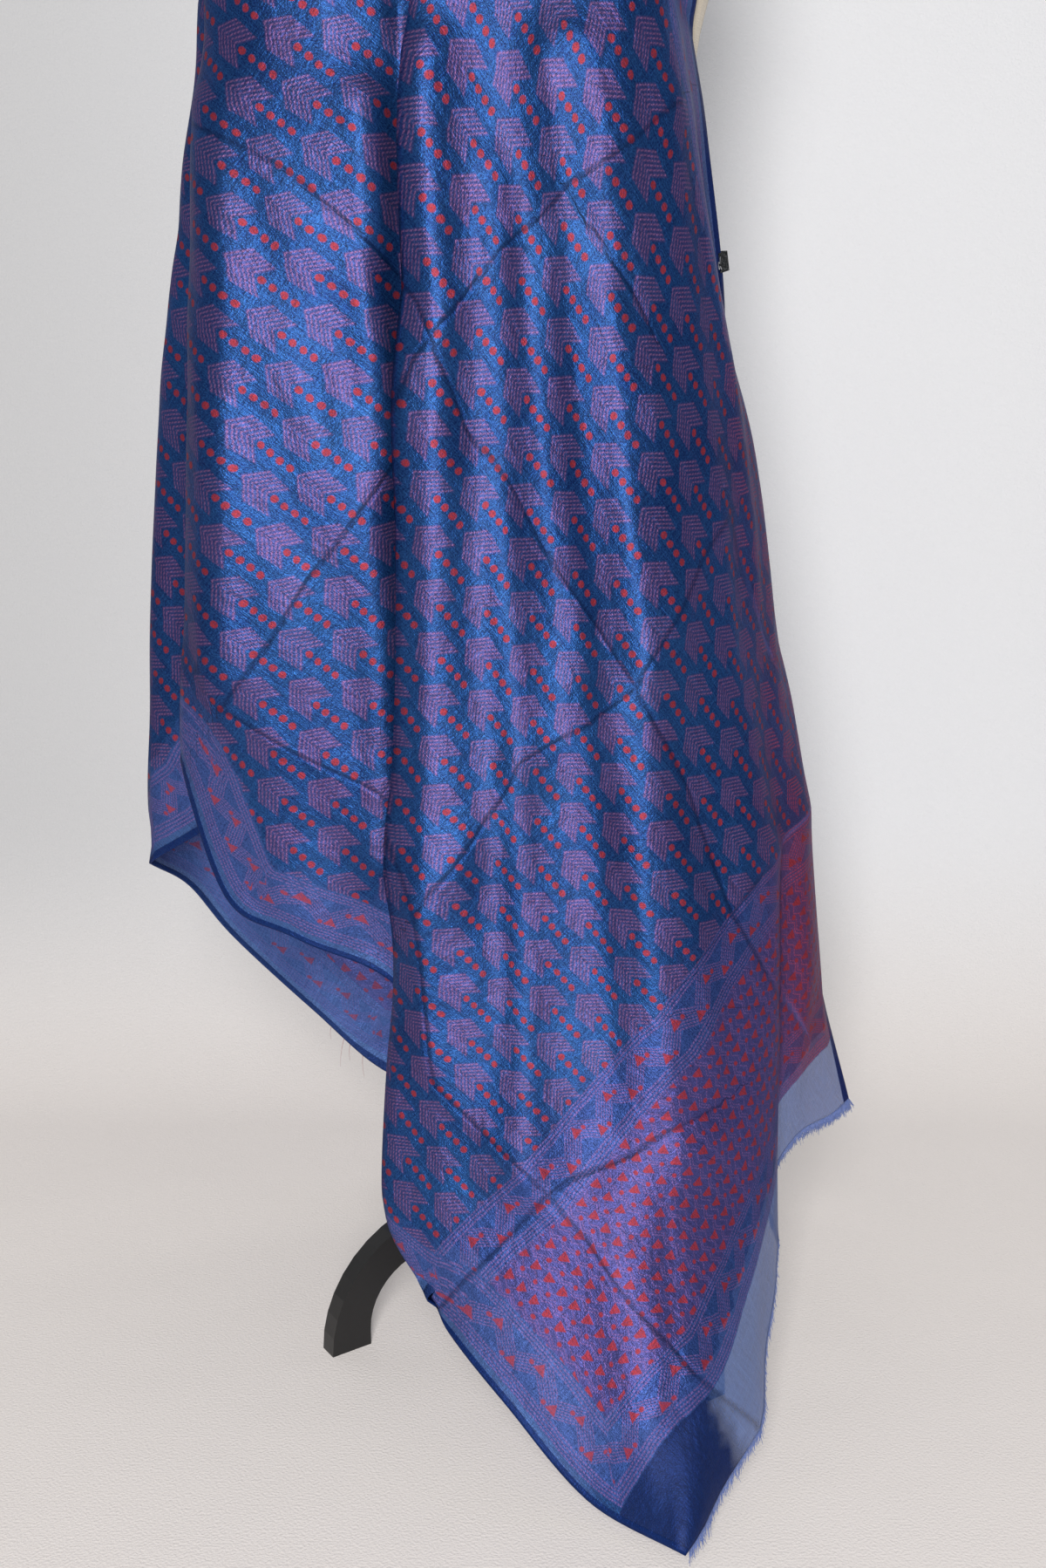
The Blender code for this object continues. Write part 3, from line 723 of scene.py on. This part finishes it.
thick = dupatta.modifiers.new("Thickness", "SOLIDIFY")
thick.thickness, thick.offset, thick.material_offset = HEM_THICK, 0.0, len(ZONES)
thick.vertex_group = group.name
bpy.context.view_layer.objects.active = dupatta
bpy.ops.object.modifier_apply(modifier=thick.name)
print(sum(len(p.vertices) - 2 for p in dupatta.data.polygons), "triangles with its thickness")

# %% [markdown]
# ## The stitched pattern
#
# Kantha pictures are built of running stitch, so the pattern is drawn as lines broken into
# short stitches. The field repeats a leaf of nested chevrons and a row of four worked dots.
# Along every edge run line groups, a zigzag and small triangles with dots, and near the raw
# end lies a panel packed with triangles. Each is a short sum on the lengths f and w, and
# gives a mask that is 1 where there is thread.

# %% Lengths of the pattern, in metres
COLUMN, PERIOD = 0.0243, 0.0590  # one column of the field, and its repeat along the warp
LEAF, LEAF_HALF, CHEVRON = 0.0225, 0.0142, 0.0037
DOT, DOT_STEP, DOTS = 0.0027, 0.0084, 4.0  # radius, distance and number of the worked dots
STITCH, LINE = 0.0030, 0.00075  # one stitch with its gap, and half a line's width
ROLL, PLAIN = 0.0058, 0.0125  # rolled hem, and where the border's first line lies
BORDER = 0.062  # width of a border from the cloth's edge
LINE_GAP, INNER_LINES = 0.0031, 0.0405  # between a border's lines, and where its second group lies
ZIGZAG, ZIGZAG_HIGH, ZIGZAG_AT, ZIGZAG_GAP = 0.045, 0.009, 0.0255, 0.0030
BARE_END = 0.062  # plain cloth beside the raw end
PANEL, PANEL_END, PANEL_FRAME = 0.112, 0.244, 0.292
TRIANGLE_STEP, TRIANGLE_COLUMN = 0.0140, 0.0225  # the panel's repeats
TRIANGLE_AT, DOT_AT, WAVE_AT = 0.0058, 0.0168, 0.0092  # places across one of its columns
BORDER_TRIANGLE, PANEL_TRIANGLE, SMALL_DOT = 0.0043, 0.0042, 0.0021  # half heights, and a radius
EDGE = 0.0006  # how softly a worked shape ends
EIGHTH = 0.7071  # cosine and sine of an eighth of a turn


def uv(name):
    """The two lengths of one of the cloth's UV maps."""
    return split(node("ShaderNodeUVMap", dict(uv_map=name)), "XY")


def stitches(along):
    return step_down(abs((along / STITCH).fract() - 0.5), 0.33, 0.12) * 0.85 + 0.15


def thin_line(distance, along, half=LINE):
    return step_down(abs(distance), half, 0.00045) * stitches(along)


def line_group(distance, along, first, count, gap=LINE_GAP):
    """A group of parallel lines of running stitch."""
    place = (distance - first + gap / 2) / gap
    one = thin_line((place.fract() - 0.5) * gap, along + place.floor() * 0.0017)
    return one * within(distance, first - gap / 2, first + gap * (count - 0.5), 0.0002)


# %% The field: leaves and rows of dots
def leaf_columns(f, w, shift):
    """Every second column of the field: mauve stitches, whole leaves and red dots."""
    across, place = f / (2 * COLUMN) + shift, shift - w / PERIOD
    side = (across.fract() - 0.5) * (2 * COLUMN)
    down = place.fract() * PERIOD
    leaf_number = spot(across.floor(), place.floor())
    drift = node("ShaderNodeTexWhiteNoise", dict(noise_dimensions="2D"), {"Vector": leaf_number})
    rank = down - abs(side) * 0.84 - 0.001
    leaf = within(rank, 0.0, LEAF, EDGE) * step_down(abs(side) + rank * 0.08, LEAF_HALF, EDGE)
    line = thin_line(((rank / CHEVRON).fract() - 0.5) * CHEVRON, down * 1.4)
    step = (down - LEAF - 0.0020) / DOT_STEP
    bead = far((step.fract() - 0.5) * DOT_STEP, side + (drift - 0.5) * 0.0014)
    dots = step_down(bead, DOT, EDGE) * within(step, 0.0, DOTS, 0.01)
    return line * leaf, leaf * (0.7 + drift * 0.6), dots


def field_pattern(f, w):
    """The whole field: the columns between the others lie half a repeat lower."""
    both = zip(leaf_columns(f, w, 0.0), leaf_columns(f, w, 0.5))
    return tuple(one.most(other) for one, other in both)


# %% The borders and the end panel
def triangle(p, q, half_high, slope=0.62):
    """A small worked triangle that points along p."""
    return step_down(abs(q) + p * slope, half_high * slope, EDGE) * step_up(p, -half_high, 0.0005)


def border_pattern(distance, along):
    """Line groups, zigzag and triangles with dots, from the first line inwards."""
    lines = line_group(distance, along, 0.0, 4).most(line_group(distance, along, INNER_LINES, 3))
    middle = distance - ZIGZAG_AT
    wave = (abs((along / ZIGZAG).fract() - 0.5) - 0.25) * (4 * ZIGZAG_HIGH)
    zigzag = line_group(middle - wave, along * 1.3, -ZIGZAG_HIGH, 7, ZIGZAG_GAP)
    lines = lines.most(zigzag * within(middle, -0.0145, 0.0135, 0.0005))
    red = None
    for shift, level in ((0.0, -0.0070), (0.45, 0.0070)):
        across = ((along / ZIGZAG + shift).fract() - 0.5) * ZIGZAG
        part = triangle(middle - level, across + 0.002, BORDER_TRIANGLE)
        part = part.most(step_down(far(middle - level + 0.003, across - 0.0064), SMALL_DOT, EDGE))
        red = part if red is None else red.most(part)
    return lines * (1.0 - red), red


def panel_pattern(f, w):
    """Rows of triangles with a dot between each two, and zigzag lines that part them."""
    number = (f / TRIANGLE_COLUMN).floor()
    side = (f / TRIANGLE_COLUMN).fract() * TRIANGLE_COLUMN
    along = w / TRIANGLE_STEP + number * 0.8
    down = (along.fract() - 0.5) * TRIANGLE_STEP
    from_middle = side - TRIANGLE_AT
    up, across = (down + from_middle) * EIGHTH, (down - from_middle) * EIGHTH
    red = triangle(up, across + up * 0.3, PANEL_TRIANGLE, 0.70)
    half = ((along + 0.4).fract() - 0.5) * TRIANGLE_STEP
    red = red.most(step_down(far(half, side - DOT_AT), SMALL_DOT, EDGE))
    wave = abs((w / TRIANGLE_STEP).fract() - 0.5) * 0.010
    lines = thin_line(side - WAVE_AT - wave, w * 1.4)
    for middle in (-0.0036, 0.0122, 0.0188):
        lines = lines.most(thin_line(side - middle - wave, w * 1.4, LINE * 0.8))
    return lines * (1.0 - red), red


print("pattern repeats every", PERIOD, "m along the warp and", 2 * COLUMN, "m across it")

# %% [markdown]
# ## Silk, right side and wrong side
#
# The silk is woven of uneven threads, so fine streaks run both ways in it. Where stitches lie
# close it is nearly opaque, and in the plain strips beside the hems it is sheer. The wrong
# side shows the same stitches, but paler, and the bare sheer cloth is pale too: both are
# painted light, for light that passes through the thin silk. Bump gives the slubs of the
# threads, and the puckers and crumples that stitching leaves. A half metallic shader with a
# coloured gloss gives the cool sheen of such silk, and painted shade darkens the creases and
# the strip at the right, where the cloth turns away from the light.

# %% Where the pattern lies on the cloth
def waver(f, w):
    """Moves the pattern a little, as hand work does; the third is for borders."""
    uneven = wander(spot(f, w), 24.0) - 0.5
    other = wander(spot(w, f, 3.1), 19.0) - 0.5
    shaky = (wander(spot(f, w, 6.0), 110.0) - 0.5) * 0.0020
    return f + uneven * 0.0045 + shaky, w + other * 0.0045 - shaky, uneven * 0.003 + shaky


def field_masks():
    """Masks of the open field: mauve lines, leaf shapes and red thread."""
    f, w, _ = waver(*uv("Cloth"))
    lines, leaf, red = field_pattern(f, w)
    return dict(lines=lines, leaf=leaf, red=red)


def edge_masks():
    """The same beside the edges, with the borders, the end panel and the bare cloth."""
    f, w, uneven = waver(*uv("Cloth"))
    hem, hem_run = uv("Hem")
    end, _ = uv("End")
    hem_d, end_d = hem + uneven, end + uneven
    inside = step_up(hem_d, BORDER, 0.0008)
    worked = step_up(end_d, BARE_END, 0.0010) * step_up(hem_d, PLAIN - 0.0015, 0.0005)
    in_field = inside * step_up(end_d, PANEL_FRAME, 0.0008)
    in_panel = inside * within(end_d, PANEL, PANEL_END, 0.0008)
    hem_side = (1.0 - inside) * step_up(end_d - BARE_END - hem_d + PLAIN, 0.0, 0.0008)
    lines, leaf, dots = field_pattern(f, w)
    lines, leaf, red = lines * in_field, leaf * in_field + in_panel * 2.0, dots * in_field
    inner = step_up(end_d, 0.5 * (PANEL + PANEL_END), 0.001)
    from_end = end_d - BARE_END - 0.002 - inner * (PANEL_END - BARE_END - 0.001)
    at_end = (1.0 - hem_side) * (1.0 - in_field) * (1.0 - in_panel)
    parts = ((*panel_pattern(f, w), in_panel), (*border_pattern(hem_d - PLAIN, hem_run), hem_side * worked),
             (*border_pattern(from_end, f), at_end * worked))
    for part_lines, part_red, where in parts:
        lines, red = lines.most(part_lines * where), red.most(part_red * where)
    plain_hem = step_down(hem_d, PLAIN, 0.0008) * step_up(end_d, BARE_END, 0.0010)
    dense = in_field.most(in_panel).most(worked * 0.9).most(plain_hem * 0.7)
    edge, leaf = (1.0 - in_field) * worked, leaf.most(worked * 0.2)
    return dict(lines=lines, leaf=leaf, red=red, dense=dense, edge=edge)


# %% The threads of the weave and the folded lines
def threads(f, w):
    """Uneven threads of the weave: streaks along the warp and along the weft."""
    warp = wander(spot(f * 900.0, w * 22.0), 1.0, 2.0, 0.6)
    weft = wander(spot(f * 22.0, w * 700.0, 5.0), 1.0, 2.0, 0.6)
    return warp, weft


def crease_lines():
    """Thin sharp lines where the cloth was folded: a groove in the bump, and painted shade along the creases
    in the colour.
    """
    warp, cross = uv("Crease")
    return step_down(abs(warp), 0.0016, 0.0020).most(step_down(abs(cross), 0.0016, 0.0020))


# %% The two sides of the silk
GLOSS = dict(Specular_IOR_Level=0.25, Specular_Tint=rgb(120, 108, 150),
             Coat_Weight=0.16, Coat_Roughness=0.48, Coat_Tint=rgb(206, 216, 250))
EDGE_BLUE, HEM_BLUE = rgb(68, 84, 154), rgb(7, 32, 88)
# colours of the painted shade on the strip at the right, for its ground and its stitches
RIGHT_SHADE_GROUND, RIGHT_SHADE_STITCH = rgb(128, 54, 76), rgb(176, 66, 84)
# painted shade along the creases, and a painted highlight on them in the strip at the right
CREASE_SHADE, CREASE_HIGHLIGHT = rgb(8, 22, 62), rgb(104, 112, 180)
RIGHT_SHADE_FROM = 0.286  # beyond this far right, painted shade: the cloth there turns away from the light, so it is painted redder and darker, as if its blue sheen were lost


def silk(name, zone, deep, bright, plum, mauve, violet, red, sheer, plain):
    """One side of the cloth in one zone: the open field, the worked end or the sheer edges."""
    mat, shader = new_material(name, Metallic=0.35 if zone == "sheer" else 0.64, **GLOSS)
    masks = field_masks() if zone == "field" else edge_masks()
    f, w = uv("Cloth")
    warp, weft = threads(f, w)
    slub = warp * 0.55 + weft * 0.45
    patch = wander(object_coordinates(), 9.0, 1.0)
    speck = wander(spot(f * 1000.0, w * 640.0, 2.0), 1.0, 1.0) - 0.5
    tone = ((slub - 0.5) * 2.2 + speck * 1.9 + (patch - 0.5) * 0.7 + 0.5).most(0.0).least(1.0)
    colour = blend(tone, deep, bright)
    x, z = split(object_coordinates(), "XZ")
    # painted shade on the strip at the right, where the cloth turns away from the light: ground, borders and
    # stitches go redder and darker there
    right_shade = step_up(x + z * 0.1, RIGHT_SHADE_FROM, 0.03)
    right_shade_share = 0.18
    colour = blend(masks["leaf"] * (0.40 + speck * 0.7), colour, plum)
    if zone != "field":
        right_shade_share = masks["edge"] * 0.3 + right_shade_share
        colour = blend(masks["edge"] * (0.30 + speck * 1.4), colour, EDGE_BLUE)
        mauve = blend(masks["edge"], mauve, violet)
    colour = blend(right_shade * right_shade_share, colour, RIGHT_SHADE_GROUND)
    mauve = blend(right_shade * 0.9, mauve, RIGHT_SHADE_STITCH)
    colour = blend((masks["lines"] * (0.62 + right_shade * 0.3 + speck * 1.4)).least(1.0), colour, mauve)
    colour = blend((masks["red"] * (0.85 + speck * 1.6)).least(1.0), colour, red)
    crease = crease_lines()
    pucker = wander(spot(f * 230.0, w * 150.0, 1.7), 1.0, 1.0)
    crumple = wander(spot(f * 34.0, w * 26.0, 7.0), 1.0, 2.0, 0.55)
    height = slub * 0.9 + speck * 0.8 + pucker * 1.4 + crumple * 5.0 - crease * 1.2
    rough = 0.39 - (slub - 0.5) * 0.3 + masks["red"] * 0.15 + masks["lines"] * 0.1
    if zone == "sheer":
        roll, doubled = uv("Roll")
        rolled = step_down(roll, ROLL, 0.0005)
        bare = (1.0 - masks["dense"]) * (1.0 - rolled) * (1.0 - doubled)
        # painted light: the bare sheer cloth is painted pale, as if lit through from behind
        colour = blend(bare * (0.25 + slub * 0.6), colour, sheer)
        colour = blend((rolled * 0.8).most(doubled * (1.0 - masks["dense"]) * 0.85), colour, HEM_BLUE)
        height = height + rolled * 0.5
        alpha = masks["dense"] * (0.97 - plain) + plain + (slub - 0.5) * 0.3
        alpha = alpha.most(masks["red"] * 0.98).most(masks["lines"] * 0.8).most(rolled).most(doubled * 0.86)
        feed(shader, Alpha=alpha.least(1.0))
    # painted shade along the creases, turning to a painted highlight in the strip at the right
    colour = blend(crease * 0.5, colour, blend(right_shade, CREASE_SHADE, CREASE_HIGHLIGHT))
    feed(shader, Base_Color=colour, Roughness=rough, Normal=relief(height, 0.0006))
    return mat


# %% Colours of the two sides, and how opaque the plain cloth is
# the wrong side is a paler copy of the right side, and both sheer colours are pale: painted light, for light
# that passes through the thin silk from behind
SIDES = dict(
    right_side=dict(deep=rgb(10, 38, 92), bright=rgb(40, 86, 142), plum=rgb(80, 62, 112),
                    mauve=rgb(146, 98, 140), violet=rgb(132, 96, 152), red=rgb(160, 50, 54),
                    sheer=rgb(134, 160, 220), plain=0.64),
    wrong_side=dict(deep=rgb(44, 76, 142), bright=rgb(96, 134, 196), plum=rgb(84, 82, 140),
                    mauve=rgb(104, 88, 140), violet=rgb(110, 104, 168), red=rgb(140, 66, 90),
                    sheer=rgb(104, 136, 200), plain=0.52))
names = [(side, zone) for side in SIDES for zone in ZONES]
for number, (side, zone) in enumerate(names):
    made = silk(f"silk_{zone}_{side}", zone, **SIDES[side])
    dupatta.data.materials[number] = made
    print(made.name, "has", len(made.node_tree.nodes), "nodes")


# %% [markdown]
# ## The frayed end
#
# The raw end was never hemmed: its cross threads have slipped off, and the warp threads stand
# out as a short soft fringe. Every thread is a thin bent strip with three sides, pointing down
# the warp and swept a little to one side, and all of them make one piece.

# %% Threads of the frayed end
THIRDS = (0.0, 2.094, 4.189)  # a thread's three corners, in radians
TAPER = 0.65  # how much thinner it is at its tip


def add_thread(bm, start, direction, length, radius, bend):
    """One thread with three sides, tapered and bent."""
    side = direction.cross(Vector((0, 1, 0.2))).normalized()
    other = direction.cross(side).normalized()
    rings = []
    for step in range(4):
        share = step / 3
        middle = start + direction * length * share + bend * share**2
        size = radius * (1.0 - TAPER * share)
        rings.append([bm.verts.new(middle + (side * math.cos(a) + other * math.sin(a)) * size)
                      for a in THIRDS])
    for low, high in zip(rings, rings[1:]):
        for k in range(3):
            bm.faces.new((low[k], low[(k + 1) % 3], high[(k + 1) % 3], high[k]))
    bm.faces.new(reversed(rings[0]))
    bm.faces.new(rings[-1])


def finish_threads(bm, name):
    bmesh.ops.recalc_face_normals(bm, faces=bm.faces)
    mesh = bpy.data.meshes.new(name)
    bm.to_mesh(mesh)
    bm.free()
    mesh.shade_smooth()
    return put(name, mesh)


def edge_point(column):
    """A place on the bottom edge of the sheet, and the way down there."""
    column = max(0.0, min(LAST_COLUMN, column))
    low = int(column)
    share = column - low
    both = [Vector(sheet[row, low] * (1 - share) + sheet[row, low + 1] * share) + POLE for row in (0, 3)]
    return both[0], (both[0] - both[1]).normalized()


LAST_COLUMN = COUNT - 1.001
FRAYED = ((0.0, tip_column - 0.4, 1300), (back_column + 0.4, LAST_COLUMN, 420))  # from, to, threads
FRAY_SHORT, FRAY_LONG, FRAY_RADIUS = 0.0055, 0.0105, 0.00044
STRAY, STRAY_LONGER = 0.08, 1.35  # share of longer threads, and how much
random.seed(11)
strands = bmesh.new()
for first, last, count in FRAYED:
    for number in range(count):
        column = first + (last - first) * (number + random.random()) / count
        start, down = edge_point(column)
        tangent = (edge_point(column + 0.5)[0] - edge_point(column - 0.5)[0]).normalized()
        lean = tangent * random.gauss(0.15, 0.35)
        length = random.uniform(FRAY_SHORT, FRAY_LONG) * (STRAY_LONGER if random.random() < STRAY else 1.0)
        sweep = Vector([random.gauss(0, 0.0008) for _ in range(3)])
        add_thread(strands, start + down * 0.0004, (down + lean).normalized(), length, FRAY_RADIUS, sweep)
fringe = finish_threads(strands, "frayed_fringe")
print(len(fringe.data.polygons), "faces in the frayed end")

# %% Loose ends of stitching thread
LOOSE_AT = 20.4  # the station where they hang
LOOSE = ((0, 0.032), (1, 0.018), (3, 0.022), (-2, 0.012))  # columns beside it, and lengths
random.seed(4)
strands = bmesh.new()
loose_column = int(np.argmin(abs(columns - LOOSE_AT)))
for shift, length in LOOSE:
    start, down = edge_point(loose_column + shift)
    astray = Vector([random.gauss(0, 0.15) for _ in range(3)])
    aim = (down + Vector((-0.35, 0.12, -0.2)) + astray).normalized()
    add_thread(strands, start + down * 0.0005, aim, length, 0.00025, Vector((0.004, 0.0, -0.003)))
loose = finish_threads(strands, "loose_threads")
print("four loose ends of thread at the back hem")

# %% Thread materials
def thread_material(name, dark, light):
    mat, shader = new_material(name, Roughness=0.6, Sheen_Weight=0.2)
    tone = wander(object_coordinates(), 900.0, 2.0)
    feed(shader, Base_Color=blend(tone, dark, light), Normal=relief(tone, 0.0002, 0.5))
    return mat


fringe.data.materials.append(thread_material("frayed_silk", rgb(48, 78, 148), rgb(130, 150, 212)))
loose.data.materials.append(thread_material("red_thread", rgb(120, 32, 44), rgb(196, 70, 74)))
for piece in (dupatta, fringe, loose):
    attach(piece, "root")
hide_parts("dupatta")
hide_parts("fringe")

# %% [markdown]
# ## The dress form and its stand
#
# The padded form is covered in fine cotton jersey with a seam down its middle, and the neck
# ends in a turned block of waxed beech. The stand is painted black: wood for the legs, steel
# for the pole. These pieces already have their shape, so each gets a finish: knitted loops,
# wood grain, and paint with a slightly brushed coat.

# %% Jersey, beech and paint
def jersey():
    mat, shader = new_material("form_jersey", Roughness=0.92, Sheen_Weight=0.35, Sheen_Roughness=0.5)
    place = object_coordinates()
    x, _, z = split(place)
    ribs = ((x * 640.0).fract() - 0.5) * ((z * 520.0).fract() - 0.5)
    mottle = wander(place, 35.0, 4.0)
    seam = step_down(abs(x - POLE.x), 0.0010, 0.0006)
    colour = blend(mottle, rgb(206, 192, 168), rgb(226, 214, 194))
    colour = blend(seam * 0.5, colour, rgb(150, 134, 112))
    feed(shader, Base_Color=colour, Normal=relief(abs(ribs) * 2.0 + mottle * 0.5 - seam * 2.0, 0.0006))
    return mat


def beech():
    mat, shader = new_material("waxed_beech", Coat_Weight=0.25, Coat_Roughness=0.2)
    x, y, z = split(object_coordinates())
    grain = wander(spot(x * 12.0, y * 160.0, z * 160.0), 1.0, 4.0)
    colour = blend(grain, rgb(150, 104, 62), rgb(196, 150, 100))
    feed(shader, Base_Color=colour, Roughness=0.38 + grain * 0.2, Normal=relief(grain, 0.0004, 0.6))
    return mat


def black_paint(name, scale, roughness):
    mat, shader = new_material(name, Coat_Weight=0.15, Coat_Roughness=0.25)
    brushed = wander(object_coordinates(), scale, 5.0, 0.6)
    dust = wander(object_coordinates(), 14.0, 4.0)
    feed(shader, Base_Color=blend(dust * brushed * 1.2, rgb(5, 5, 6), rgb(24, 24, 26)),
         Roughness=roughness + dust * 0.2, Normal=relief(brushed, 0.0002, 0.5))
    return mat


FINISHES = dict(form_torso=jersey(), form_neck_cap=beech())
painted_wood = black_paint("painted_wood", 240.0, 0.34)
painted_steel = black_paint("painted_steel", 900.0, 0.28)
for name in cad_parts:
    if name.startswith("stand"):
        FINISHES[name] = painted_wood if name.startswith(("stand_leg", "stand_hub")) else painted_steel


# %% [markdown]
# ## The binder clip
#
# A small clip pins the edge of the cloth at the hip. Its body is dark worn steel and its two
# handles are bright bent wire. Both keep their shape and take a worn finish.

# %% Clip finishes
def worn_steel(name, dark, bright, roughness):
    mat, shader = new_material(name, Metallic=0.9)
    wear = wander(object_coordinates(), 700.0, 5.0, 0.65)
    feed(shader, Base_Color=blend(step_up(wear, 0.56, 0.08), dark, bright),
         Roughness=roughness + wear * 0.25, Normal=relief(wear, 0.0001, 0.5))
    return mat


FINISHES["clip_body"] = worn_steel("worn_black_steel", rgb(58, 60, 62), rgb(120, 122, 124), 0.35)
wire = worn_steel("bright_wire", rgb(150, 152, 156), rgb(205, 206, 210), 0.18)
FINISHES["clip_handle_front"] = FINISHES["clip_handle_back"] = wire
for name, mat in FINISHES.items():
    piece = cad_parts[name]
    piece.data.materials.clear()
    piece.data.materials.append(mat)
print(len(FINISHES), "pieces have their finish")

# %% [markdown]
# ## The room
#
# The object stands on a pale cloth-covered floor that sweeps up into a light wall, so no
# line parts them. One tall soft light beside the camera makes cloth that faces it bright,
# and cloth that turns away goes dark, which draws every fold. A weak room light fills the
# rest. The wall can't be seen from behind, so the back of the cloth stays in view.

# %% Floor and wall in one sweep
FLOOR_EDGE, SWEEP = 0.42, 0.30  # where the floor starts to rise, and in what curve
ROOM_FRONT, ROOM_SIDE, ROOM_HIGH = -3.0, 3.5, 3.2
turns = np.linspace(0.1, math.pi / 2, 12)
profile = [(ROOM_FRONT, 0.0), (FLOOR_EDGE, 0.0)]
profile += [(FLOOR_EDGE + SWEEP * math.sin(a), SWEEP * (1 - math.cos(a))) for a in turns]
profile += [(FLOOR_EDGE + SWEEP, ROOM_HIGH)]
room_mesh = bpy.data.meshes.new("room")
corners = [(x, y, z) for x in (-ROOM_SIDE, ROOM_SIDE) for y, z in profile]
count = len(profile)
room_mesh.from_pydata(corners, [], [(i, i + count, i + count + 1, i + 1) for i in range(count - 1)])
room_mesh.shade_smooth()
room = put("room", room_mesh)

# %% Pale cloth for it
mat, shader = new_material("pale_cloth", Roughness=0.9, Emission_Strength=0.30)
place = object_coordinates()
x, y, z = split(place)
wall = step_up(z + y * 0.3, 0.32, 0.22)
# painted shade: the wall is darker towards the left
painted_wall_shade = wall * step_down(x, -0.25, 0.45) * 0.55
colour = blend(painted_wall_shade, blend(wall, rgb(222, 216, 212), rgb(224, 225, 228)), rgb(150, 148, 146))
feed(shader, Base_Color=colour, Emission_Color=blend(wall, rgb(212, 206, 202), rgb(176, 177, 178)),
     Normal=relief(wander(place, 420.0, 1.0) + wander(place, 6.0, 1.0) * 4.0, 0.0008),
     Alpha=1.0 - node("ShaderNodeNewGeometry", {}, {}, output="Backfacing"))
mat.cycles.emission_sampling = "NONE"
room_mesh.materials.append(mat)

# %% Lights
WINDOW, AIM, WATTS = Vector((-0.18, -2.5, 1.45)), Vector((0.0, 0.0, 1.0)), 74
ROOM_LIGHT, ROOM_STRENGTH = (0.90, 0.94, 1.0, 1.0), 0.16
light = bpy.data.lights.new("window", "AREA")
light.shape, light.size, light.size_y = "RECTANGLE", 0.55, 1.7
light.energy, light.color = WATTS, (1.0, 0.985, 0.97)
lamp = put("window", light)
lamp.location = WINDOW
lamp.rotation_euler = (AIM - WINDOW).to_track_quat("-Z", "Y").to_euler()
world = bpy.data.worlds.new("room_light")
world.use_nodes = True
backdrop = world.node_tree.nodes["Background"].inputs
backdrop["Color"].default_value, backdrop["Strength"].default_value = ROOM_LIGHT, ROOM_STRENGTH
bpy.context.scene.world = world

# %% [markdown]
# ## The camera
#
# The camera stands a metre and a half in front, at the height of the hip, and looks down a
# little, so that the top of the cloth leaves the view and its lowest corner stays inside.

# %% Camera
AWAY, ASIDE, HIGH, TILT = 1.55, 0.03, 0.935, 74.5  # from the pole in metres, and in degrees
camera_data = bpy.data.cameras.new("camera")
camera_data.lens, camera_data.sensor_width = 40.0, 36.0
camera = put("camera", camera_data)
camera.location = (POLE.x - ASIDE, POLE.y - AWAY, HIGH)
camera.rotation_euler = (math.radians(TILT), 0.0, 0.0)
bpy.context.scene.camera = camera
bpy.context.scene.view_settings.view_transform = "Standard"
print("camera at", [round(v, 3) for v in camera.location])
